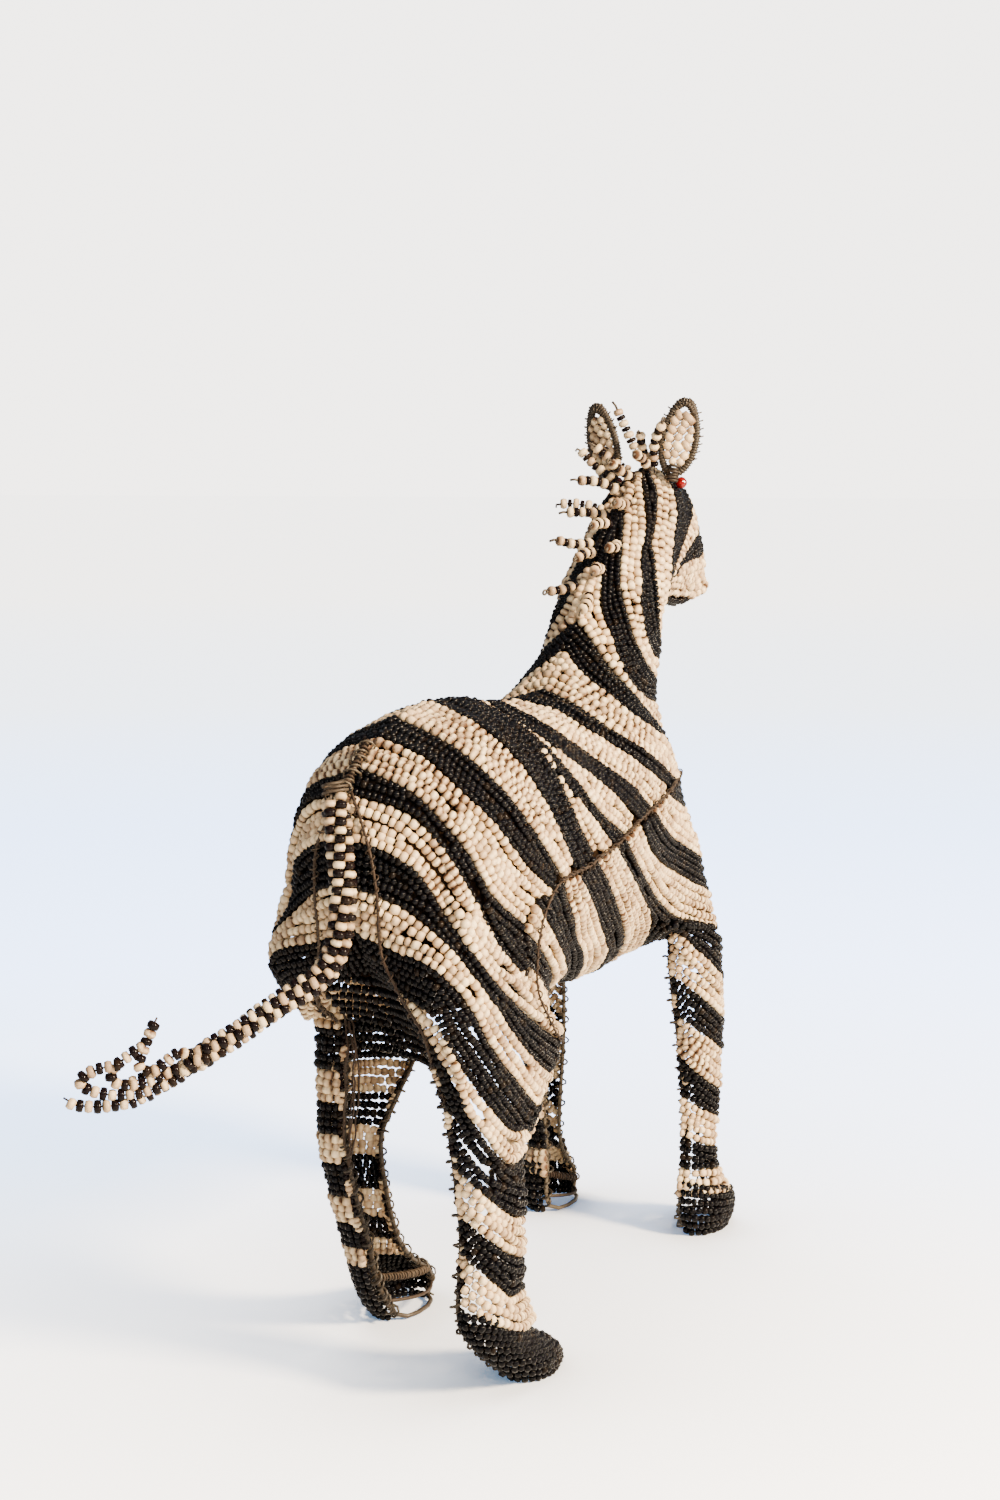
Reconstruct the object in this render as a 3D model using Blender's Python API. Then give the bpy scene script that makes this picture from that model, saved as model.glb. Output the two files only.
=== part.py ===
# A standing zebra figurine of bead strings on a wire frame.
# The head faces -Y, the animal's left is +X and the hooves stand on Z = 0.
import math

import bmesh
import bpy
import numpy as np

# Driving sizes, metres
FIGURE_HEIGHT = 0.2922
ROW_RELIEF = 0.0008
LEG_WALL = 0.0028
FRAME_WIRE_DIAMETER = 0.0018
PART_GAP = 0.0004
WIRE_GAP = 0.0007
EAR_LENGTH = 0.0255
EAR_WIDTH = 0.0104
EAR_THICKNESS = 0.0026
EAR_RIM_DIAMETER = 0.0018
EYE_DIAMETER = 0.0042
MANE_STRING_DIAMETER = 0.0030
MANE_STRING_LENGTH = 0.0160
TAIL_STRING_DIAMETER = 0.0031
TAIL_BUNCH_RADIUS = 0.0031

# The form tables below are in units of which the figure is this many high, up to the right ear's tip
FORM_HEIGHT = 292.2
UNIT = FIGURE_HEIGHT / FORM_HEIGHT

# Rings round the body from rump to nose, square to its line:
# back (along, height), side (along, half width, height), underside (along, height)
BODY_RINGS = [
    (-111, 172, -112, 7, 160, -110, 149),
    (-100, 189, -101, 25, 151, -98, 128),
    (-68, 200.5, -70, 37, 145.5, -68, 106),
    (-25, 196.5, -25, 38, 150, -25, 102.5),
    (8, 194, 20, 37.5, 154, 44, 99),
    (20, 199, 42, 34, 163, 96, 108),
    (28, 207, 50, 24, 178, 103, 146),
    (38, 219, 57, 17.6, 197, 83.5, 180),
    (54, 237, 69.5, 17, 219, 83.5, 205.5),
    (75, 256.5, 85, 15.3, 237.5, 92.5, 220),
    (96, 269.5, 99, 14.4, 246, 102, 221.5),
    (115, 264, 113.5, 12.6, 245, 112, 219.5),
    (131.5, 247, 129, 9.6, 235, 125, 218),
    (146, 226, 143, 5.5, 223.5, 140, 220),
]

# Where a row of beads that crosses the side at each ring meets the back and the underside, as ring numbers
ROW_AT_SIDE = [0, 1, 2, 3, 4, 5, 5.5, 6, 6.4, 7.2, 7.9, 8.5, 9, 10, 11, 12, 13]
ROW_AT_BACK = [0, 0.5, 1.35, 2.3, 3.25, 4.2, 5.2, 6, 6.8, 8.4, 9.6, 10.3, 10.7, 11.3, 11.9, 12.4, 13]
ROW_AT_BELLY = [0, 2.0, 3.1, 4.1, 5.2, 6.05, 6.35, 6.65, 7.0, 7.7, 8.1, 8.6, 9, 10, 11, 12, 13]

# Legs as stations up from the ground: height, along, half length, across, half width
HIND_RIGHT = [
    (0, -56, 10.5, 31, 7.5),
    (5, -59, 15.5, 30.5, 9.5),
    (12, -67, 19, 29.5, 9.5),
    (20, -76, 17.5, 28.5, 9),
    (30, -78.5, 14, 28, 8.5),
    (45, -77.5, 12.5, 27.5, 8.5),
    (67, -79, 15, 27.5, 9.5),
    (80, -76, 23, 27.5, 10.5),
    (88, -74, 30, 27, 11.5),
    (101, -70, 37, 26.5, 12.5),
    (115, -71, 37.5, 26, 12.8),
    (132, -74, 30, 24.5, 11),
]
HIND_LEFT = [
    (0, -31, 11.5, 28, 8),
    (5, -32, 17, 28, 9),
    (12, -37, 19, 27, 9),
    (20, -46, 15.5, 26, 8.5),
    (30, -54, 12, 25, 8.5),
    (45, -62, 12, 24, 8.5),
    (67, -67.5, 14, 24, 8.5),
    (80, -60, 20.5, 25, 10),
    (88, -56, 25, 25, 10.8),
    (101, -53, 28.5, 25, 11.5),
    (115, -60, 31, 25, 12),
    (132, -70, 28, 24, 11),
]
FORE_RIGHT = [
    (0, 87, 12.5, 29, 8),
    (6, 86, 15.5, 29.5, 9.5),
    (14, 86, 14.5, 29.5, 9.5),
    (21, 83.5, 10.5, 29.5, 7.2),
    (30, 81, 9, 29.5, 6.4),
    (47, 80.5, 10.3, 29.5, 6.8),
    (65, 79.5, 12.8, 29.5, 8),
    (84, 76.5, 15.6, 29.5, 9),
    (105, 73, 18, 29.5, 9.5),
    (120, 70, 20, 28, 9.5),
    (138, 66, 18, 25.5, 8.5),
]
FORE_LEFT_ALONG = -2.0
FORE_LEFT_ACROSS = 1.0

# Half the angle that a leg's beaded wall covers, and how far its rows fall from back to front
LEG_WALL_ANGLE = math.radians(112)
LEG_ROW_FALL = 0.42
LEG_ROW_FALL_FROM = 24.0
LEG_ROW_PITCH = 11.0
LEG_ARC_STEPS = 6
BODY_ROW_PITCH = 7.3
BODY_ARC_STEPS = 8

# Frame wires: how high they reach, where their bends get closer together, and the loop under the hoof
WIRE_TOP = 96.0
WIRE_CLOSE_BENDS = 36.0
HOOF_LOOP_REACH = 4.5
HOOF_LOOP_HEIGHT = 2.0
HOOF_LOOP_SHARES = (0.12, 0.35, 0.65, 0.88)

# Ears: base (along, across, height), direction and turn of the beaded back; the panel's ends and cupping
EAR_BASE = {"right": (94.0, 11.5, 266.5), "left": (92.0, 11.5, 264.5)}
EAR_LEAN = {"right": (0.22, 0.10, 0.97), "left": (-0.05, 0.20, 0.98)}
EAR_BACK_SPLAY = 0.30
EAR_PANEL_FROM = 0.05
EAR_PANEL_TO = 0.80
EAR_CUPPING = 0.9

# Eyes: along, height, and how far their middles stand off the cheek
EYE_PLACE = (100.0, 263.0)
EYE_OFF_CHEEK = 3.0

# Mane strings: ring number on the crest, turn of the foot off the crest to the left, lean to the left and
# lean forward in degrees, share of the full length
MANE_STRINGS = [
    (7.62, 0.20, 20, -52, 0.85),
    (7.42, -0.15, -12, -62, 0.80),
    (7.82, -0.25, -12, -40, 0.80),
    (8.06, 0.0, 2, -46, 0.88),
    (8.30, 0.26, 24, -40, 0.95),
    (8.32, -0.28, -12, -52, 0.75),
    (8.58, -0.08, 4, -48, 0.88),
    (8.74, 0.16, 30, -44, 1.05),
    (8.88, 0.36, 58, -34, 0.95),
    (8.98, -0.22, -4, -50, 0.80),
    (9.20, 0.16, 38, -34, 1.0),
    (9.46, 0.34, 46, 12, 1.1),
    (9.50, -0.06, 14, -34, 0.88),
    (9.70, 0.20, 42, -12, 0.95),
    (9.74, -0.28, -2, -40, 0.90),
    (9.88, -0.34, -18, -4, 1.1),
    (10.04, 0.12, 20, -8, 1.3),
    (10.02, -0.12, 0, -30, 0.85),
]
MANE_BEADS = 3
MANE_FOOT_LIFT = 0.9

# Tail: the bunch's middle line (along, across, height), and where each string's end strays to
TAIL_LINE = [
    (-117.5, -1, 180),
    (-119.5, -4, 166),
    (-121.5, -6, 151),
    (-125.5, -4, 134),
    (-137, 9, 122),
    (-146, 20, 113),
    (-157, 31, 106.5),
    (-166, 40, 102),
]
TAIL_ENDS = [
    (-175, 48, 101),
    (-168, 36, 98),
    (-172, 42, 105.5),
    (-166, 47, 107.5),
    (-153, 33, 122),
]
TAIL_SPLIT = 0.62
TAIL_TWIST = math.radians(150)
TAIL_PHASE = math.radians(36)
TAIL_STEPS = 12

# The wire twist at the top that ties the tail strings together: radius, height, and drop of its middle
TAIL_TIE_RADIUS = 3.3
TAIL_TIE_HEIGHT = 4.0
TAIL_TIE_DROP = 3.0

bpy.ops.object.select_all(action="DESELECT")
for old in list(bpy.data.objects):
    bpy.data.objects.remove(old)

zebra = bpy.data.collections.new("Beaded zebra")
bpy.context.scene.collection.children.link(zebra)


# Materials
def material(name, colour, roughness, metallic=0.0):
    made = bpy.data.materials.new(name)
    made.use_nodes = True
    shader = made.node_tree.nodes["Principled BSDF"]
    shader.inputs["Base Color"].default_value = (*colour, 1.0)
    shader.inputs["Roughness"].default_value = roughness
    shader.inputs["Metallic"].default_value = metallic
    return made


bead_skin = material("bead skin", (0.42, 0.36, 0.28), 0.35)
cream_beads = material("cream beads", (0.72, 0.60, 0.45), 0.35)
red_bead = material("red bead", (0.55, 0.02, 0.02), 0.10)
frame_wire = material("frame wire", (0.17, 0.14, 0.10), 0.45, 1.0)


# Form helpers
def smooth_rows(table, at):
    """Cubic through the rows of a table, read at row numbers that need not be whole."""
    table = np.asarray(table, float)
    at = np.clip(np.asarray(at, float), 0, len(table) - 1)
    low = np.minimum(at.astype(int), len(table) - 2)
    t = (at - low)[..., None]
    before = table[np.maximum(low - 1, 0)]
    here = table[low]
    after = table[low + 1]
    beyond = table[np.minimum(low + 2, len(table) - 1)]
    return 0.5 * (
        2 * here
        + (after - before) * t
        + (2 * before - 5 * here + 4 * after - beyond) * t**2
        + (3 * here - before - 3 * after + beyond) * t**3
    )


def body_point(ring, turn):
    """Point of the body at a ring number and a turn, 0 at the back and pi at the belly; across is positive."""
    back_u, back_z, side_u, half, side_z, under_u, under_z = np.moveaxis(smooth_rows(BODY_RINGS, ring), -1, 0)
    lift = np.cos(turn)
    up = np.maximum(lift, 0)
    down = np.maximum(-lift, 0)
    along = side_u + (back_u - side_u) * up + (under_u - side_u) * down
    height = side_z + (back_z - side_z) * up + (under_z - side_z) * down
    return np.stack([along, half * np.sin(turn), height], -1)


def row_ring(row, turn):
    """Ring number that a row has reached at a turn: it swings from its place on the back to that on the side."""
    back = np.interp(row, ROW_AT_SIDE, ROW_AT_BACK)
    belly = np.interp(row, ROW_AT_SIDE, ROW_AT_BELLY)
    sweep = np.interp(row, [3.6, 5.5], [2.4, 1.1])
    above = (1 - np.sin(np.minimum(turn, math.pi / 2))) ** sweep
    below = np.maximum(-np.cos(turn), 0)
    return row + (back - row) * above + (belly - row) * below


def place(points):
    """Form units to metres: the head faces -Y and the animal's left is +X."""
    points = np.asarray(points, float)
    return np.stack([points[..., 1], -points[..., 0], points[..., 2]], -1) * UNIT


def mesh_object(name, verts, faces, look):
    made = bpy.data.meshes.new(name)
    made.from_pydata([tuple(v) for v in verts], [], faces)
    made.validate()
    bm = bmesh.new()
    bm.from_mesh(made)
    bmesh.ops.remove_doubles(bm, verts=bm.verts, dist=0.00001)
    bmesh.ops.recalc_face_normals(bm, faces=bm.faces)
    bm.to_mesh(made)
    bm.free()
    made.shade_smooth()
    obj = bpy.data.objects.new(name, made)
    zebra.objects.link(obj)
    made.materials.append(look)
    return obj


def adopt(name, look):
    """Names the primitive that was just added and moves it into the figure's collection."""
    obj = bpy.context.object
    obj.name = name
    obj.data.shade_smooth()
    obj.data.materials.append(look)
    for holder in list(obj.users_collection):
        holder.objects.unlink(obj)
    zebra.objects.link(obj)
    return obj


def loft(rings):
    """Closed rings joined one to the next, with a flat cap on each end."""
    count = len(rings[0])
    verts = np.concatenate(rings)
    faces = []
    for ring in range(len(rings) - 1):
        start = ring * count
        for i in range(count):
            j = (i + 1) % count
            faces.append((start + i, start + j, start + count + j, start + count + i))
    faces.append(tuple(range(count))[::-1])
    faces.append(tuple(range(len(verts) - count, len(verts))))
    return verts, faces


# Torso, neck and head: one loft whose rings follow the bead rows, raised and sunk by turns
def body_skin():
    fine = np.linspace(0, len(BODY_RINGS) - 1, 1200)
    side = body_point(fine, np.full(len(fine), math.pi / 2))
    run = np.concatenate([[0], np.cumsum(np.linalg.norm(np.diff(side, axis=0), axis=1))])
    steps = 2 * int(round(run[-1] / BODY_ROW_PITCH))
    rows = np.interp(np.linspace(0, run[-1], steps + 1), run, fine)
    turns = np.linspace(0, math.pi, BODY_ARC_STEPS + 1)
    row_grid, turn_grid = np.meshgrid(rows, turns, indexing="ij")
    points = body_point(row_ring(row_grid, turn_grid), turn_grid)
    along = np.gradient(points, axis=0)
    around = np.gradient(points, axis=1)
    outward = np.cross(around, along)
    outward /= np.maximum(np.linalg.norm(outward, axis=-1, keepdims=True), 1e-9)
    outward *= np.sign((outward[..., 1:2] * points[..., 1:2]).sum(axis=(1, 2)))[:, None, None]
    relief = np.where(np.arange(len(rows)) % 2, 0.5, -0.5) * ROW_RELIEF / UNIT
    relief[[0, 1, -2, -1]] = 0
    outward[:, [0, -1], 1] = 0
    points = points + outward * relief[:, None, None]
    points[:, [0, -1], 1] = 0
    rings = []
    for ring in points:
        left = ring[1:-1][::-1]
        rings.append(np.concatenate([ring * (1, -1, 1), left]))
    return loft([place(ring) for ring in rings])


# Legs: channels with a beaded wall round the outer side, open toward the other leg
def leg_levels(stations):
    """The bead rows of a leg from the sole up: height, along, half length, across, half width, fall."""
    table = np.asarray(stations, float)
    top = table[-1, 0]
    heights = np.linspace(0, top, 2 * int(round(top / LEG_ROW_PITCH)) + 1)
    spot = np.interp(heights, table[:, 0], np.arange(len(table)))
    levels = smooth_rows(table, spot)
    levels[:, 0] = heights
    fall = LEG_ROW_FALL * np.clip(heights / LEG_ROW_FALL_FROM, 0, 1)
    return np.column_stack([levels, fall])


def leg_point(level, side, turn, deeper, relief=0.0):
    """Point of a leg's row at a turn, 0 on the outer side, lying deeper than the beaded face by so much."""
    height, along, half_long, across, half_wide, fall = level
    return (
        along + (half_long + relief - deeper) * math.sin(turn),
        side * (across + (half_wide + relief - deeper) * math.cos(turn)),
        height - fall * half_long * math.sin(turn),
    )


def leg_wall(stations, side):
    turns = np.linspace(-LEG_WALL_ANGLE, LEG_WALL_ANGLE, LEG_ARC_STEPS + 1)
    wall = LEG_WALL / UNIT
    rings = []
    for k, level in enumerate(leg_levels(stations)):
        relief = 0.0 if k < 2 else ROW_RELIEF / UNIT * (0.5 if k % 2 else -0.5)
        outer = [leg_point(level, side, turn, 0.0, relief) for turn in turns]
        inner = [leg_point(level, side, turn, wall) for turn in turns[::-1]]
        rings.append(place(np.array(outer + inner)))
    return loft(rings)


def curve_object(name, points, radii, look, sides_step=1):
    """A round bar along points in metres, its radius scaled point by point, closed at both ends."""
    curve = bpy.data.curves.new(name, "CURVE")
    curve.dimensions = "3D"
    curve.bevel_depth = 1.0
    curve.bevel_resolution = sides_step
    curve.use_fill_caps = True
    line = curve.splines.new("POLY")
    line.points.add(len(points) - 1)
    for target, spot, radius in zip(line.points, points, radii):
        target.co = (*spot, 1.0)
        target.radius = radius
    obj = bpy.data.objects.new(name, curve)
    zebra.objects.link(obj)
    curve.materials.append(look)
    return obj


def leg_edge(level, side, turn, reach):
    """Point just past the edge of a leg's wall, where the frame wire runs."""
    _, _, half_long, _, half_wide, _ = level
    wall = LEG_WALL / UNIT
    along = (half_long - wall / 2) * math.cos(turn)
    across = -(half_wide - wall / 2) * math.sin(turn)
    away = math.copysign(reach, turn) / math.hypot(along, across)
    middle = leg_point(level, side, turn, wall / 2)
    return (middle[0] + along * away, middle[1] + side * across * away, middle[2])


def leg_wire(name, stations, side):
    """One heavy wire down the rear edge, round under the open side of the hoof and up the front edge."""
    reach = (FRAME_WIRE_DIAMETER / 2 + WIRE_GAP) / UNIT
    levels = []
    for k, level in enumerate(leg_levels(stations)):
        close = level[0] < WIRE_CLOSE_BENDS or k % 2
        if k and close and level[0] < WIRE_TOP:
            levels.append(level)
    path = [leg_edge(level, side, -LEG_WALL_ANGLE, reach) for level in levels[::-1]]
    heel = np.array(path[-1])
    toe = np.array(leg_edge(levels[0], side, LEG_WALL_ANGLE, reach))
    inward = np.array([0, -side * HOOF_LOOP_REACH, 0])
    for share in HOOF_LOOP_SHARES:
        spot = heel + (toe - heel) * share + inward * math.sin(math.pi * share) ** 0.5
        spot[2] = HOOF_LOOP_HEIGHT
        path.append(tuple(spot))
    path += [leg_edge(level, side, LEG_WALL_ANGLE, reach) for level in levels]
    points = place(path)
    return curve_object(name, points, [FRAME_WIRE_DIAMETER / 2] * len(points), frame_wire)


# Ears
def ear_axes(which):
    side = 1 if which == "left" else -1
    base = np.array(EAR_BASE[which]) * (1, side, 1)
    lean = EAR_LEAN[which]
    up = np.array([lean[0], side * lean[1], lean[2]])
    up /= np.linalg.norm(up)
    back = np.array([-1.0, side * EAR_BACK_SPLAY, 0.0])
    back -= up * back.dot(up)
    back /= np.linalg.norm(back)
    return base, up, back, np.cross(up, back)


def ear_half_width(share):
    """Leaf outline: narrow at the base, widest just past half way and round at the tip."""
    return EAR_WIDTH / UNIT / 2 * (0.16 + 0.84 * math.sin(math.pi * share**0.86) ** 0.7)


def ear_panel(name, which):
    base, up, back, wide = ear_axes(which)
    length = EAR_LENGTH / UNIT
    thick = EAR_THICKNESS / UNIT
    rim = (EAR_RIM_DIAMETER / 2 + 2 * PART_GAP) / UNIT
    rings = []
    for share in np.linspace(EAR_PANEL_FROM, EAR_PANEL_TO, 8):
        half = ear_half_width(share) - rim
        front = []
        rear = []
        for across in np.linspace(-1, 1, 5):
            cup = EAR_CUPPING * (1 - across**2)
            middle = base + up * (share * length) + wide * (across * half) + back * cup
            swell = thick / 2 * (0.55 + 0.45 * math.sqrt(1 - (0.9 * across) ** 2))
            front.append(middle - back * swell)
            rear.append(middle + back * swell)
        rings.append(place(np.array(rear + front[::-1])))
    return mesh_object(name, *loft(rings), cream_beads)


def ear_rim(name, which):
    base, up, back, wide = ear_axes(which)
    length = EAR_LENGTH / UNIT
    path = []
    for share in np.linspace(0, 1, 9):
        path.append(base + up * (share * length) + wide * ear_half_width(share))
    for share in np.linspace(1, 0, 9):
        path.append(base + up * (share * length) - wide * ear_half_width(share))
    points = place(np.array(path))
    return curve_object(name, points, [EAR_RIM_DIAMETER / 2] * len(points), frame_wire)


# Mane strings, each a run of beads that stands out of the crest
def mane_string(name, ring, foot_turn, lean_left, lean_forward, length_share):
    foot = body_point(ring, abs(foot_turn)) * (1, math.copysign(1, foot_turn), 1)
    ahead = body_point(ring + 0.05, 0.0) - body_point(ring - 0.05, 0.0)
    ahead /= np.linalg.norm(ahead)
    up = np.array([-ahead[2], 0.0, ahead[0]])
    left = np.array([0.0, 1.0, 0.0])
    tilt = math.radians(lean_left)
    pitch = math.radians(lean_forward)
    way = math.cos(tilt) * (math.cos(pitch) * up + math.sin(pitch) * ahead) + math.sin(tilt) * left
    radius = MANE_STRING_DIAMETER / 2 / UNIT
    sunk = radius * math.sqrt(1 - way.dot(up) ** 2)
    start = foot + up * (sunk + MANE_FOOT_LIFT)
    length = MANE_STRING_LENGTH * length_share / UNIT
    points = []
    radii = []
    for k in range(2 * MANE_BEADS + 1):
        points.append(start + way * (length * k / (2 * MANE_BEADS)))
        radii.append(MANE_STRING_DIAMETER / 2 * (1.0 if k % 2 else 0.72))
    return curve_object(name, place(np.array(points)), radii, cream_beads, 0)


# Tail strings
def tail_string(number):
    turn_start = TAIL_PHASE + 2 * math.pi * number / len(TAIL_ENDS)
    bunch = TAIL_BUNCH_RADIUS / UNIT
    points = []
    last = len(TAIL_LINE) - 1
    for k in range(TAIL_STEPS + 1):
        share = k / TAIL_STEPS
        middle = smooth_rows(TAIL_LINE, share * last)
        ahead = smooth_rows(TAIL_LINE, min(share * last + 0.1, last)) - smooth_rows(
            TAIL_LINE, max(share * last - 0.1, 0)
        )
        ahead /= np.linalg.norm(ahead)
        first = np.cross(ahead, (0.3, -0.9, 0.1))
        first /= np.linalg.norm(first)
        second = np.cross(ahead, first)
        turn = turn_start + TAIL_TWIST * share
        ring = bunch * (first * math.cos(turn) + second * math.sin(turn))
        stray = max(share - TAIL_SPLIT, 0) / (1 - TAIL_SPLIT)
        away = np.array(TAIL_ENDS[number]) - np.array(TAIL_LINE[-1])
        points.append(middle + ring * (1 - stray**2) + away * stray**1.6)
    radii = [TAIL_STRING_DIAMETER / 2] * len(points)
    return curve_object(f"tail_string_{number + 1}", place(np.array(points)), radii, cream_beads, 0)


def as_hidden_mesh(curve):
    """The curve's solid as a mesh in the collection of pieces that are joined to others."""
    bpy.context.view_layer.update()
    solid = curve.evaluated_get(bpy.context.evaluated_depsgraph_get())
    made = bpy.data.meshes.new_from_object(solid)
    bm = bmesh.new()
    bm.from_mesh(made)
    bmesh.ops.remove_doubles(bm, verts=bm.verts, dist=0.00001)
    bmesh.ops.recalc_face_normals(bm, faces=bm.faces)
    bm.to_mesh(made)
    bm.free()
    obj = bpy.data.objects.new(curve.name + " before joining", made)
    bpy.data.objects.remove(curve)
    hide_for_joining(obj)
    return obj


def hide_for_joining(obj):
    for holder in list(obj.users_collection):
        holder.objects.unlink(obj)
    unjoined.objects.link(obj)
    obj.hide_render = True
    obj.display_type = "WIRE"


def join_to(obj, piece):
    join = obj.modifiers.new("join " + piece.name, "BOOLEAN")
    join.operation = "UNION"
    join.solver = "EXACT"
    join.object = piece


# Build the skin: the body, then each leg joined to it
body = mesh_object("body_beadwork", *body_skin(), bead_skin)
fore_left = [
    (z, along + FORE_LEFT_ALONG, long_half, across + FORE_LEFT_ACROSS, wide_half)
    for z, along, long_half, across, wide_half in FORE_RIGHT
]
legs = {
    "hind_right": (HIND_RIGHT, -1),
    "hind_left": (HIND_LEFT, 1),
    "fore_right": (FORE_RIGHT, -1),
    "fore_left": (fore_left, 1),
}
unjoined = bpy.data.collections.new("Pieces before joining")
bpy.context.scene.collection.children.link(unjoined)
for leg, (stations, side) in legs.items():
    wall = mesh_object("leg_" + leg, *leg_wall(stations, side), bead_skin)
    hide_for_joining(wall)
    join_to(body, wall)
    leg_wire("frame_wire_" + leg, stations, side)

for which in ("right", "left"):
    ear_panel("ear_" + which, which)
    ear_rim("ear_rim_" + which, which)

# Eyes stand just off the cheeks
for which, side in (("right", -1), ("left", 1)):
    along, height = EYE_PLACE
    reach = body_point(10.4, 1.0)[1]
    spot = place([along, side * (reach + EYE_OFF_CHEEK), height])
    bpy.ops.mesh.primitive_uv_sphere_add(segments=8, ring_count=6, radius=EYE_DIAMETER / 2, location=spot)
    adopt("eye_" + which, red_bead)

for number, string in enumerate(MANE_STRINGS):
    mane_string(f"mane_string_{number + 1:02d}", *string)

# The tail: its strings joined by the twist at the top
tie_place = np.array(TAIL_LINE[0]) - (0, 0, TAIL_TIE_DROP)
bpy.ops.mesh.primitive_cylinder_add(
    vertices=10,
    radius=TAIL_TIE_RADIUS * UNIT,
    depth=TAIL_TIE_HEIGHT * UNIT,
    end_fill_type="NGON",
    location=place(tie_place),
)
tail = adopt("tail", cream_beads)
for number in range(len(TAIL_ENDS)):
    join_to(tail, as_hidden_mesh(tail_string(number)))

# The row's origin: the middle of the figure's box, on the ground
bpy.context.view_layer.update()
depsgraph = bpy.context.evaluated_depsgraph_get()
corners = []
for obj in zebra.objects:
    solid = obj.evaluated_get(depsgraph)
    corners += [vertex.co + obj.location for vertex in solid.to_mesh().vertices]
    solid.to_mesh_clear()
corners = np.array(corners)
low = corners.min(axis=0)
high = corners.max(axis=0)
for obj in list(zebra.objects) + list(unjoined.objects):
    obj.location.x -= (low[0] + high[0]) / 2
    obj.location.y -= (low[1] + high[1]) / 2
    obj.location.z -= low[2]
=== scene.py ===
# Looks of the beaded zebra figurine: bead strings, wires, materials, camera and light.
import math

import bpy
import numpy as np
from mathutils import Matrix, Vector


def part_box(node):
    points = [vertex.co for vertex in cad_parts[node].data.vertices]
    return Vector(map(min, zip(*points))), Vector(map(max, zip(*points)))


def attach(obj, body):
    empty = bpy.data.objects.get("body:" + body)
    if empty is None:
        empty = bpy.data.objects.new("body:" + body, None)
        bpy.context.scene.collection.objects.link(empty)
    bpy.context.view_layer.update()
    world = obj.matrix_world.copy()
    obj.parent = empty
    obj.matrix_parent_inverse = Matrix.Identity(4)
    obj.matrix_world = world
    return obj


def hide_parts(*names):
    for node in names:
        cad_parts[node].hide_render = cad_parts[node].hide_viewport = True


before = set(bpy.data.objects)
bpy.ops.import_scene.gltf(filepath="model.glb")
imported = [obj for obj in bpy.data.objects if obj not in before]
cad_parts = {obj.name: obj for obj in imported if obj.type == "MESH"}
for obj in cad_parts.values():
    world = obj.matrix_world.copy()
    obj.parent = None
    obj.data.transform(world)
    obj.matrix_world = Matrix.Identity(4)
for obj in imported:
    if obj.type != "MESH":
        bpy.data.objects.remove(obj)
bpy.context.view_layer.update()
random = np.random.default_rng(7)

# Form units are millimetres: along (forward), across (left), up. The shift puts the box's middle at the origin
unit = 0.001
boxShift = np.array([-0.004588, -0.014991, 0.0])


# Form points to metres: across is +X, forward is -Y, up is +Z.
def place(points):
    points = np.asarray(points, float)
    return np.stack([points[..., 1], -points[..., 0], points[..., 2]], -1) * unit + boxShift


# Rings round the body from rump to nose: back (along, up), side (along, half width, up), underside (along, up)
bodyRings = [
    (-111, 172, -112, 7, 160, -110, 149), (-100, 189, -101, 25, 151, -98, 128),
    (-68, 200.5, -70, 37, 145.5, -68, 106), (-25, 196.5, -25, 38, 150, -25, 102.5),
    (8, 194, 20, 37.5, 154, 44, 99), (20, 199, 42, 34, 163, 96, 108), (28, 207, 50, 24, 178, 103, 146),
    (38, 219, 57, 17.6, 197, 83.5, 180), (54, 237, 69.5, 17, 219, 83.5, 205.5),
    (75, 256.5, 85, 15.3, 237.5, 92.5, 220), (96, 269.5, 99, 14.4, 246, 102, 221.5),
    (115, 264, 113.5, 12.6, 245, 112, 219.5), (131.5, 247, 129, 9.6, 235, 125, 218),
    (146, 226, 143, 5.5, 223.5, 140, 220),
]
# A row of beads meets the body's side, back and belly at these rings, one column for each guide row
rowAtSide = [0, 1, 2, 3, 4, 5, 5.5, 6, 6.4, 7.2, 7.9, 8.5, 9, 10, 11, 12, 13]
rowAtBack = [0, 0.5, 1.35, 2.3, 3.25, 4.2, 5.2, 6, 6.8, 8.4, 9.6, 10.3, 10.7, 11.3, 11.9, 12.4, 13]
rowAtBelly = [0, 2.0, 3.1, 4.1, 5.2, 6.05, 6.35, 6.65, 7.0, 7.7, 8.1, 8.6, 9, 10, 11, 12, 13]

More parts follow.
